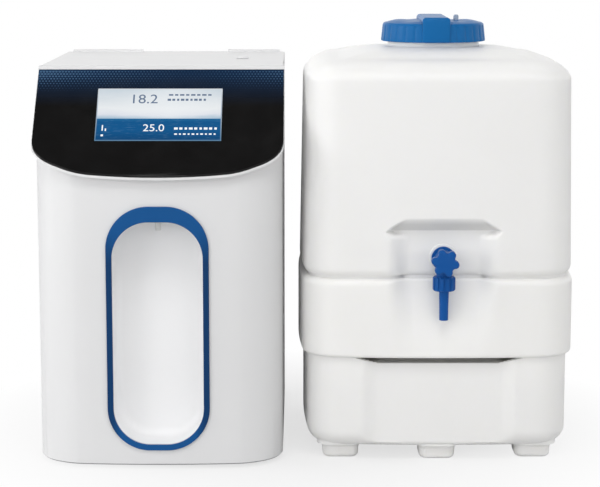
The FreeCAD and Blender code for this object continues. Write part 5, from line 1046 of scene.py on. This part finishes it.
class WATER_OT_niche(PieceOperator, bpy.types.Operator):
    """Builds the dispensing niche, its blue frame and its nozzle"""
    bl_idname = "water.niche"
    bl_label = "Dispensing niche"

    def build(self, sizes, colours):
        # the niche's liner takes the brighter, painted-light copy of the casing white
        from_node("niche_liner", sizes.small_edge, MATERIALS["niche_white_painted_light"])
        from_node("niche_frame", sizes.edge * 1.8)
        from_node("dispense_nozzle", sizes.small_edge)


def tank_bow_at(x):
    """How far the band's bowed front lies behind its crown."""
    return TANK_BOW * ((x - TANK_X) / (TANK_HALF_WIDTH - TANK_BOW)) ** 2


def recess_floor(x, z, grow, inset):
    """Y of the tap recess's hollow floor, or nothing above and below the recess.

    grow is 0 on the outside and the wall's thickness inside. inset is how far the skin lies behind the band
    at this height, so that the groove runs on through the recess.
    """
    if z < BAND_BOTTOM - grow or z > RECESS_TOP + grow:
        return None
    foot_half, middle_half, top_half = RECESS_HALF
    if z < BAND_TOP:
        share = (z - BAND_BOTTOM) / (BAND_TOP - BAND_BOTTOM)
        half = foot_half + (middle_half - foot_half) * share
        depth = RECESS_END_DEPTH + (RECESS_DEPTH - RECESS_END_DEPTH) * share
    else:
        share = max(z - RECESS_SHOULDER - grow, 0.0) / (RECESS_TOP - RECESS_SHOULDER)
        half = middle_half + (top_half - middle_half) * share
        depth = RECESS_DEPTH + (UPPER_INSET - RECESS_END_DEPTH - RECESS_DEPTH) * share
    half += grow
    in_roof = ramp(z, RECESS_SHOULDER - 9.0, RECESS_SHOULDER)
    flat_share = RECESS_FLAT_SHARE + (ROOF_FLAT_SHARE - RECESS_FLAT_SHARE) * in_roof
    away = ramp(abs(x - TAP_X), half * flat_share, half)
    groove = max(inset - UPPER_INSET, 0.0) if grow == 0.0 else 0.0
    return BAND_FRONT + grow + groove + depth - (depth - tank_bow_at(TAP_X - half)) * away


def tank_front(x, z, grow, y, blend, inset):
    """Moves a front point of the tank's skin behind the tap recess, the grip scoop and the front flat."""
    away = abs(x - TANK_X)
    if z < BAND_BOTTOM - 0.2:
        flat = BAND_FRONT + LOWER_INSET + FLAT_DEPTH + grow
        share = 1.0 - ramp(away, FLAT_HALF_WIDTH - 4.0, FLAT_HALF_WIDTH + FLAT_DRAFT + 4.0)
        y += max(flat - y, 0.0) * share
    floor = recess_floor(x, z, grow, inset)
    if floor is not None:
        in_roof = ramp(z, TAP_Z, RECESS_SHOULDER - 4.0)
        y = smooth_max(y, floor, blend + (ROOF_BLEND - blend) * in_roof)
    if BAND_BOTTOM - SCOOP_HEIGHT - 2.0 - grow < z < BAND_BOTTOM - 0.2 + grow * 1.3:
        low = min(max((BAND_BOTTOM - z) / SCOOP_HEIGHT, 0.0), 1.0)
        half = SCOOP_HALF - SCOOP_TAPER * low + grow
        closing = 1.0 - ramp(BAND_BOTTOM - z, SCOOP_HEIGHT - 1.5 + grow, SCOOP_HEIGHT + 1.5 + grow)
        share = (1.0 - ramp(away, half - 9.0, half + 2.0)) * closing
        y = smooth_max(y, BAND_FRONT + (SCOOP_DEPTH + grow) * share, 1.0)
    return y


def outer_levels():
    """(height, inset) up the tank's outside, from its underside to the end of its shoulder."""
    band_edge = BAND_TOP - BAND_TOP_FILLET
    levels = [(BELLY_Z, BELLY_INSET + 6.0), (BELLY_Z, BELLY_INSET)]
    levels += arc_steps((BELLY_Z, BELLY_INSET), (BELLY_TOP, LOWER_INSET), 10, "inset")
    levels += wall_steps(BELLY_TOP, BAND_BOTTOM - 19.0, LOWER_INSET, 6)
    levels += wall_steps(BAND_BOTTOM - 19.0, BAND_BOTTOM - 1.0, LOWER_INSET, 14)
    levels += [(BAND_BOTTOM - 0.3, LOWER_INSET), (BAND_BOTTOM, LOWER_INSET - 0.1),
               (BAND_BOTTOM, BAND_FILLET)]
    levels += arc_steps((BAND_BOTTOM, BAND_FILLET), (BAND_BOTTOM + BAND_FILLET, 0.0), 6, "inset")
    levels += wall_steps(BAND_BOTTOM + BAND_FILLET, band_edge, 0.0, 24)
    levels += arc_steps((band_edge, 0.0), (BAND_TOP, BAND_TOP_FILLET), 9, "height")
    levels += [(BAND_TOP + 0.6, GROOVE_INSET - 0.1), (BAND_TOP + 2.0, GROOVE_INSET),
               (GROOVE_TOP - 3.0, GROOVE_INSET)]
    levels += arc_steps((GROOVE_TOP - 3.0, GROOVE_INSET), (GROOVE_TOP + 6.0, UPPER_INSET), 9, "inset")
    levels += wall_steps(GROOVE_TOP + 6.0, RECESS_SHOULDER - 6.0, UPPER_INSET, 14)
    levels += wall_steps(RECESS_SHOULDER - 6.0, RECESS_TOP + 1.0, UPPER_INSET, 22)
    levels += [(RECESS_TOP + 2.0, UPPER_INSET), (RECESS_TOP + 3.5, UPPER_INSET)]
    levels += wall_steps(RECESS_TOP + 3.5, SHOULDER_Z, UPPER_INSET, 9)
    levels += arc_steps((SHOULDER_Z, UPPER_INSET), (TANK_TOP - TOP_FALL, TOP_INSET), 24, "height")
    return levels


def inner_levels():
    """(height, inset) down the tank's inside, from its shoulder to its bottom."""
    upper, middle, lower = (inset + TANK_WALL for inset in (UPPER_INSET, GROOVE_INSET, LOWER_INSET))
    levels = arc_steps((TANK_TOP - TOP_FALL - TANK_WALL, TOP_INSET), (SHOULDER_Z, upper), 7, "inset")
    levels += wall_steps(SHOULDER_Z, RECESS_TOP + 6.0, upper, 4)
    levels += wall_steps(RECESS_TOP + 6.0, RECESS_SHOULDER - 6.0, upper, 14)
    levels += wall_steps(RECESS_SHOULDER - 6.0, GROOVE_TOP + 9.0, upper, 5)
    levels += [(GROOVE_TOP + 6.0, middle)]
    levels += wall_steps(GROOVE_TOP + 6.0, BAND_BOTTOM + 8.0, middle, 9)
    levels += wall_steps(BAND_BOTTOM + 8.0, BAND_BOTTOM - 21.0, middle, 12)
    levels += wall_steps(BAND_BOTTOM - 22.0, BELLY_TOP, lower, 4)
    levels += arc_steps((BELLY_TOP, lower), (BELLY_Z + TANK_WALL, BELLY_INSET), 5, "height")
    levels += [(BELLY_Z + TANK_WALL, BELLY_INSET + 6.0)]
    return levels


def neck_levels():
    """(height, radius) up the outside of the neck and down its bore."""
    foot = TANK_TOP + TOP_RISE
    ceiling = TANK_TOP - TANK_WALL
    return [(foot + 0.6, NECK_RADIUS + 1.6), (foot + 2.0, NECK_RADIUS + 0.5), (foot + 3.5, NECK_RADIUS),
            (NECK_TOP - 1.0, NECK_RADIUS), (NECK_TOP - 0.3, NECK_RADIUS - 0.3),
            (NECK_TOP, NECK_RADIUS - 1.0), (NECK_TOP, NECK_BORE + 1.0), (NECK_TOP - 0.3, NECK_BORE + 0.3),
            (NECK_TOP - 1.0, NECK_BORE), (TANK_TOP - 2.0, NECK_BORE), (ceiling + 0.4, NECK_BORE + 0.6),
            (ceiling, NECK_BORE + 2.0)]


class WATER_OT_tank(PieceOperator, bpy.types.Operator):
    """Builds the blow-moulded storage tank with its legs and bosses"""
    bl_idname = "water.tank"
    bl_label = "Storage tank"

    def build(self, sizes, colours):
        self.moulding(millimetres(sizes.recess_blend), millimetres(sizes.tank_taper))
        self.legs(millimetres(sizes.leg_flare))
        self.seats()

    def moulding(self, blend, taper):
        """The hollow body: up its outside, over the neck and down its inside."""
        outline = bowed_outline(TANK_HALF_WIDTH, TANK_HALF_DEPTH, TANK_BOW, TANK_BOW, TANK_CORNER,
                                (140, 14, 14, 10))
        centre = Vector((TANK_X, TANK_Y))

        def drawn_in(z, normal):
            """The upper part is wider at its foot than at its shoulder, except at the back."""
            if z < BAND_TOP + 1.0:
                return 0.0
            rise = min((z - GROOVE_TOP) / (SHOULDER_Z - GROOVE_TOP), 1.0)
            at_back = ramp(normal.y, 0.15, 0.7)
            return taper * (rise * 1.7 - 0.7) * (1.0 - at_back) * ramp(z, BAND_TOP, GROOVE_TOP + 8.0)

        def skin_ring(z, inset, grow=0.0):
            ring = []
            for spot, normal in outline:
                place = centre + spot - normal * (inset + drawn_in(z, normal))
                y = place.y
                if spot.y < -100.0:
                    y = tank_front(place.x, z, grow, y, blend, inset)
                ring.append(Vector((place.x, y, z)))
            return ring

        def neck_ring(z, radius, share=1.0):
            """From the end of the shoulder, at share 0, to a circle at share 1."""
            ring = []
            for spot, normal in outline:
                plan = spot - normal * (TOP_INSET + drawn_in(z, normal))
                place = centre + plan.lerp(spot.normalized() * radius, share)
                ring.append(Vector((place.x, place.y, z)))
            return ring

        rings = [skin_ring(z, inset) for z, inset in outer_levels()]
        steps = 6
        for step in range(1, steps + 1):
            share = step / steps
            z = TANK_TOP + TOP_RISE - (TOP_FALL + TOP_RISE) * (1.0 - share) ** 2
            rings.append(neck_ring(z, NECK_RADIUS + NECK_FLARE, share))
        rings += [neck_ring(z, radius) for z, radius in neck_levels()]
        steps = 4
        for step in range(1, steps + 1):
            share = step / steps
            z = TANK_TOP - TANK_WALL - TOP_FALL * share ** 2
            rings.append(neck_ring(z, NECK_BORE + 2.0, 1.0 - share))
        rings += [skin_ring(z, inset, TANK_WALL) for z, inset in inner_levels()]
        bm = bmesh.new()
        loft(bm, rings)
        self.tank_piece("tank_moulding", bm, replaces=("tank_shell",), sharp=38.0)

    def tank_piece(self, name, bm, **settings):
        put(name, bm, "base", "tank_plastic", MATERIALS["tank_plastic"], **settings)

    def legs(self, flare):
        outline = bowed_outline(LEG_HALF, LEG_HALF, 0.0, 0.0, LEG_FILLET, (2, 2, 2, 7))
        reach_x = TANK_HALF_WIDTH - LOWER_INSET - TANK_BOW - LEG_HALF
        reach_y = TANK_HALF_DEPTH - LOWER_INSET - TANK_BOW - LEG_HALF
        levels = [(0.0, LEG_FOOT_FILLET + 4.0), (0.0, LEG_FOOT_FILLET)]
        levels += arc_steps((0.0, LEG_FOOT_FILLET), (LEG_FOOT_FILLET, 0.0), 6, "inset")
        levels += arc_steps((BELLY_Z - flare, 0.0), (BELLY_Z + 0.4, -flare), 7, "height")
        levels += [(BELLY_Z + 6.0, -flare)]
        bm = bmesh.new()
        for side_x in (-1, 0, 1):
            for side_y in (-1, 0, 1):
                if not (side_x or side_y):
                    continue
                inset = LEG_CORNER_INSET if side_x and side_y else FLAT_DEPTH
                spot = Vector((TANK_X + side_x * (reach_x - inset), TANK_Y + side_y * (reach_y - inset)))
                loft(bm, [[Vector((*(spot + p - n * draw), z)) for p, n in outline] for z, draw in levels])
        self.tank_piece("tank_legs", bm, sharp=50.0)

    def seats(self):
        """Flat seats for the tap and for the fittings at the back."""
        thickness = TAP_SEAT[2]
        self.seat("tank_tap_seat", TAP_SEAT, 64, 90.0, (TAP_X, TAP_SEAT_Y + thickness, TAP_Z))
        thickness = REAR_SEAT[2]
        for name, x, z in REAR_SEATS:
            self.seat(f"tank_{name}_seat", REAR_SEAT, 48, -90.0, (TANK_X + x, REAR_SEAT_Y - thickness, z))

    def seat(self, name, sizes, steps, turn, place):
        radius, hole, thickness, fillet = sizes
        profile = [(hole, 0.0, 0.0), (radius, 0.0, 0.0), (radius, thickness, fillet), (hole, thickness, 0.0),
                   (hole, 0.0, 0.0)]
        bm = turned(rounded_profile(profile), steps)
        upright = Matrix.Rotation(math.radians(turn), 3, "X")
        bmesh.ops.rotate(bm, cent=(0, 0, 0), matrix=upright, verts=bm.verts)
        bmesh.ops.translate(bm, vec=place, verts=bm.verts)
        self.tank_piece(name, bm)


class WATER_OT_cap(PieceOperator, bpy.types.Operator):
    """Builds the tank's screw cap with its grip bar, gasket and vent"""
    bl_idname = "water.cap"
    bl_label = "Tank cap"

    def build(self, sizes, colours):
        self.moulding(sizes.cap_ribs * GROOVE_STEPS, millimetres(sizes.rib_depth))
        self.grip()
        from_node("cap_gasket", sizes.small_edge)
        from_node("cap_vent", sizes.small_edge, MATERIALS["vent_grey"])

    def moulding(self, count, depth):
        """Skirt with grooves, rounded edge and low dome, open below for the neck."""
        middle_of_groove = GROOVE_STEPS / 2.0

        def ring(r, z, groove):
            made = []
            for i in range(count):
                turn = math.tau * i / count
                cut_in = max(0.0, 1.0 - abs((i % GROOVE_STEPS) - middle_of_groove) / 1.5)
                reach = r - groove * depth * cut_in
                place = Vector((TANK_X + reach * math.cos(turn), TANK_Y + reach * math.sin(turn), z))
                if z > CAP_RIM:
                    across = 1.0 - ramp(abs(place.x - TANK_X), 24.0, 50.0)
                    along = 1.0 - ramp(abs(place.y - TANK_Y), 26.0, 54.0)
                    place.z -= CAP_HOLLOW * across * along
                made.append(place)
            return made

        skirt_foot = CAP_BOTTOM + 1.4
        profile = [(NECK_RADIUS - 4.0, CAP_CEILING, 0.0), (CAP_INSIDE, CAP_CEILING, 0.0),
                   (CAP_INSIDE, CAP_BOTTOM + 0.8, 0.0), (CAP_INSIDE + 0.8, CAP_BOTTOM, 0.0),
                   (CAP_RADIUS - 1.2, CAP_BOTTOM, 0.0), (CAP_RADIUS - 0.3, CAP_BOTTOM + 0.4, 0.5),
                   (CAP_RADIUS, skirt_foot, 1.0)]
        shoulder = CAP_RIM - 4.0
        steps = 6
        for i in range(1, steps + 1):
            share = i / steps
            profile.append((CAP_RADIUS + (CAP_TOP_RADIUS - CAP_RADIUS) * share,
                            skirt_foot + (shoulder - skirt_foot) * share, 1.0 if i < steps else 0.6))
        for z, inset in arc_steps((shoulder, 0.0), (CAP_RIM, CAP_EDGE), 6, "height"):
            profile.append((CAP_TOP_RADIUS - inset, z, 0.0))
        dome_radius = CAP_TOP_RADIUS - CAP_EDGE
        for i in range(1, 25):
            r = dome_radius * (1.0 - i / 24.5)
            profile.append((r, CAP_RIM + CAP_DOME * (1.0 - (r / dome_radius) ** 4), 0.0))
        bm = bmesh.new()
        loft(bm, [ring(r, z, groove) for r, z, groove in profile])
        put("cap_moulding", bm, "cap", "blue_cap", MATERIALS["blue_cap"], ("tank_cap",), sharp=40.0)

    def grip(self):
        """The bar across the cap."""
        half_x, half_y = GRIP_HALF
        levels = [(CAP_BOTTOM + 0.1, 1.2), (CAP_BOTTOM + 0.9, 0.3), (CAP_BOTTOM + 2.5, 0.0), (CAP_RIM, 0.0),
                  (GRIP_TOP - GRIP_EDGE, 0.0)]
        levels += arc_steps((GRIP_TOP - GRIP_EDGE, 0.0), (GRIP_TOP, GRIP_EDGE), 6, "height")
        levels += [(GRIP_TOP, GRIP_EDGE + 1.4)]
        rings = []
        for z, inset in levels:
            corner = max(GRIP_CORNER - inset, 0.5)
            outline = bowed_outline(half_x - inset, half_y - inset, GRIP_BOW, 0.0, corner, (8, 10, 8, 4))
            rings.append([Vector((TANK_X + spot.x, TANK_Y + spot.y, z)) for spot, _ in outline])
        bm = bmesh.new()
        loft(bm, rings)
        put("cap_grip", bm, "cap", "blue_cap", MATERIALS["blue_cap"], sharp=40.0)


class WATER_OT_tap(NodeOperator, bpy.types.Operator):
    """Builds the draw-off tap"""
    bl_idname = "water.tap"
    bl_label = "Tap"
    nodes = ("tap_body", "tap_collar_nut", "tap_spout", "tap_knob", "tap_back_nut", "tap_gasket",
             "tap_spindle")


class WATER_OT_rear(NodeOperator, bpy.types.Operator):
    """Builds the fan, the mains inlet, the switch and the fittings at the back"""
    bl_idname = "water.rear"
    bl_label = "Rear fittings"
    nodes = ("fan_frame", "fan_rotor", "fan_guard", "cover_screws", "mains_inlet", "inlet_contacts",
             "power_switch_frame", "power_rocker", "cabinet_ports", "tank_ports", "port_collets", "port_nuts",
             "level_transducer")


class WATER_OT_bay(NodeOperator, bpy.types.Operator):
    """Builds the service bay's cartridges, pumps, valves and tubes"""
    bl_idname = "water.bay"
    bl_label = "Service bay"
    nodes = ("cartridge_deck", "pretreatment_cartridge", "polishing_cartridge", "membrane_housing_left",
             "membrane_housing_right", "lamp_chamber", "head_elbows", "head_tubes", "booster_pump_head",
             "booster_pump_motor", "power_supply", "recirculation_pump", "valve_manifold", "solenoid_valves",
             "conductivity_cell", "final_filter")


class WATER_OT_feet(NodeOperator, bpy.types.Operator):
    """Builds the cabinet's rubber feet"""
    bl_idname = "water.feet"
    bl_label = "Rubber feet"
    nodes = ("rubber_feet",)


# name, place, aimed at, width and height, power; in metres and watts
LAMPS = (("Key lamp", (-1.8, -1.9, 1.1), (-0.05, 0.0, 0.28), (0.7, 1.9), 9.0),
         ("Fill lamp", (1.8, -2.0, 1.0), (0.05, 0.0, 0.28), (0.7, 1.9), 1.0),
         ("Side lamp", (-2.6, -0.4, 0.9), (0.0, 0.0, 0.3), (1.2, 1.6), 16.0),
         ("Front lamp", (0.0, -1.7, 2.9), (0.0, -0.05, 0.35), (2.4, 1.0), 33.0),
         ("Rear lamp", (0.0, 0.9, 2.4), (0.0, 0.0, 0.4), (2.2, 0.8), 9.0))
AMBIENT = 1.6                  # surround's light at the horizon
AMBIENT_ABOVE = 0.05           # and overhead
CAMERA_PLACE = (-0.00915, -2.6295, 0.6602)
CAMERA_PITCH = 0.154           # below level
CAMERA_LENS = 118.0
FLOOR_TONE = 0.67
FLOOR_WHITE = 0.70             # share of plain white in the floor near the object; it is 1 further out


class WATER_OT_stage(PieceOperator, bpy.types.Operator):
    """Sets out the pale floor, the soft lamps, the white surround and the camera"""
    bl_idname = "water.stage"
    bl_label = "Studio"

    def build(self, sizes, colours):
        self.floor()
        self.surround()
        for settings in LAMPS:
            lamp(*settings)
        data = bpy.data.cameras.new("Camera")
        data.lens = CAMERA_LENS
        data.sensor_width = 36.0
        data.clip_start = 0.05
        data.clip_end = 60.0
        camera = new_object("Camera", data)
        camera.location = CAMERA_PLACE
        camera.rotation_euler = (math.pi / 2.0 - CAMERA_PITCH, 0.0, 0.0)
        bpy.context.scene.camera = camera
        bpy.context.scene.view_settings.view_transform = "Standard"

    def floor(self):
        bm = bmesh.new()
        bmesh.ops.create_circle(bm, cap_ends=True, radius=30.0, segments=96)
        bmesh.ops.translate(bm, vec=(0, 0, -0.0002), verts=bm.verts)
        mesh = bpy.data.meshes.new("studio_floor")
        bm.to_mesh(mesh)
        bm.free()
        floor = new_object("studio_floor", mesh)
        material, s, skin = new_material("Pale floor")
        place = s.place()
        far = s.add("ShaderNodeVectorMath", operation="LENGTH")
        s.feed(far.inputs[0], place)
        white = s.remap(far.outputs["Value"], 0.20, 0.50, FLOOR_WHITE, 1.0)
        skin["Base Color"].default_value = (FLOOR_TONE, FLOOR_TONE, FLOOR_TONE, 1.0)
        s.feed(skin["Roughness"], s.remap(s.noise(place, 500.0, 2.0), 0.3, 0.7, 0.72, 0.82))
        lit = s.add("ShaderNodeEmission")
        lit.inputs["Color"].default_value = (1.0, 1.0, 1.0, 1.0)
        seen = s.add("ShaderNodeLightPath").outputs["Is Camera Ray"]
        plain = material.node_tree.nodes["Principled BSDF"].outputs[0]
        mix_into(s, "Material Output", s.sum("MULTIPLY", white, seen), plain, lit.outputs[0])
        mesh.materials.append(material)
        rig.stage(floor)

    def surround(self):
        world = bpy.data.worlds.new("Surround")
        world.use_nodes = True
        bpy.context.scene.world = world
        s = Shader(world.node_tree)
        ambient = world.node_tree.nodes["Background"]
        ambient.inputs["Color"].default_value = (1.0, 1.0, 1.0, 1.0)
        height = s.split(s.add("ShaderNodeTexCoord").outputs["Generated"])[2]
        s.feed(ambient.inputs["Strength"], s.remap(height, 0.0, 0.9, AMBIENT, AMBIENT_ABOVE))
        white = s.add("ShaderNodeBackground")
        white.inputs["Color"].default_value = (1.0, 1.0, 1.0, 1.0)
        white.inputs["Strength"].default_value = 1.0
        seen = s.add("ShaderNodeLightPath").outputs["Is Camera Ray"]
        mix_into(s, "World Output", seen, ambient.outputs[0], white.outputs[0])


def mix_into(s, output, share, first, second):
    """Feeds a mix of two surfaces into a tree's output."""
    mix = s.add("ShaderNodeMixShader")
    for socket, value in zip(mix.inputs, (share, first, second)):
        s.feed(socket, value)
    s.feed(s.tree.nodes[output].inputs["Surface"], mix.outputs[0])


def lamp(name, place, aim, size, energy):
    data = bpy.data.lights.new(name, "AREA")
    data.shape = "RECTANGLE"
    data.size, data.size_y = size
    data.energy = energy
    made = new_object(name, data)
    made.location = place
    made.rotation_euler = (Vector(aim) - Vector(place)).to_track_quat("-Z", "Y").to_euler()


OPERATORS = (WATER_OT_finishes, WATER_OT_covers, WATER_OT_lid, WATER_OT_head, WATER_OT_screen,
             WATER_OT_niche, WATER_OT_tank, WATER_OT_cap, WATER_OT_tap, WATER_OT_rear, WATER_OT_bay,
             WATER_OT_feet, WATER_OT_stage)


class WATER_PT_panel(bpy.types.Panel):
    """Lists every step of the build"""
    bl_label = "Water system"
    bl_idname = "WATER_PT_panel"
    bl_space_type = "VIEW_3D"
    bl_region_type = "UI"
    bl_category = "Water system"

    def draw(self, context):
        layout = self.layout
        for settings in (context.scene.water_sizes, context.scene.water_colours):
            box = layout.box()
            for name in settings.__annotations__:
                box.prop(settings, name)
        for operator in OPERATORS:
            layout.operator(operator.bl_idname)


CLASSES = (WaterSizes, WaterColours) + OPERATORS + (WATER_PT_panel,)


def register():
    for made in CLASSES:
        bpy.utils.register_class(made)
    bpy.types.Scene.water_sizes = PointerProperty(type=WaterSizes)
    bpy.types.Scene.water_colours = PointerProperty(type=WaterColours)


def unregister():
    del bpy.types.Scene.water_colours
    del bpy.types.Scene.water_sizes
    for made in reversed(CLASSES):
        bpy.utils.unregister_class(made)


def main():
    register()
    for operator in OPERATORS:
        group, name = operator.bl_idname.split(".")
        getattr(getattr(bpy.ops, group), name)()
    shown_box = [list(corner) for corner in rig.bounds()]
    with open(SIZE_FILE, "w") as file:
        json.dump({"cad": CAD_BOX, "shown": shown_box}, file)


if __name__ == "__main__":
    main()
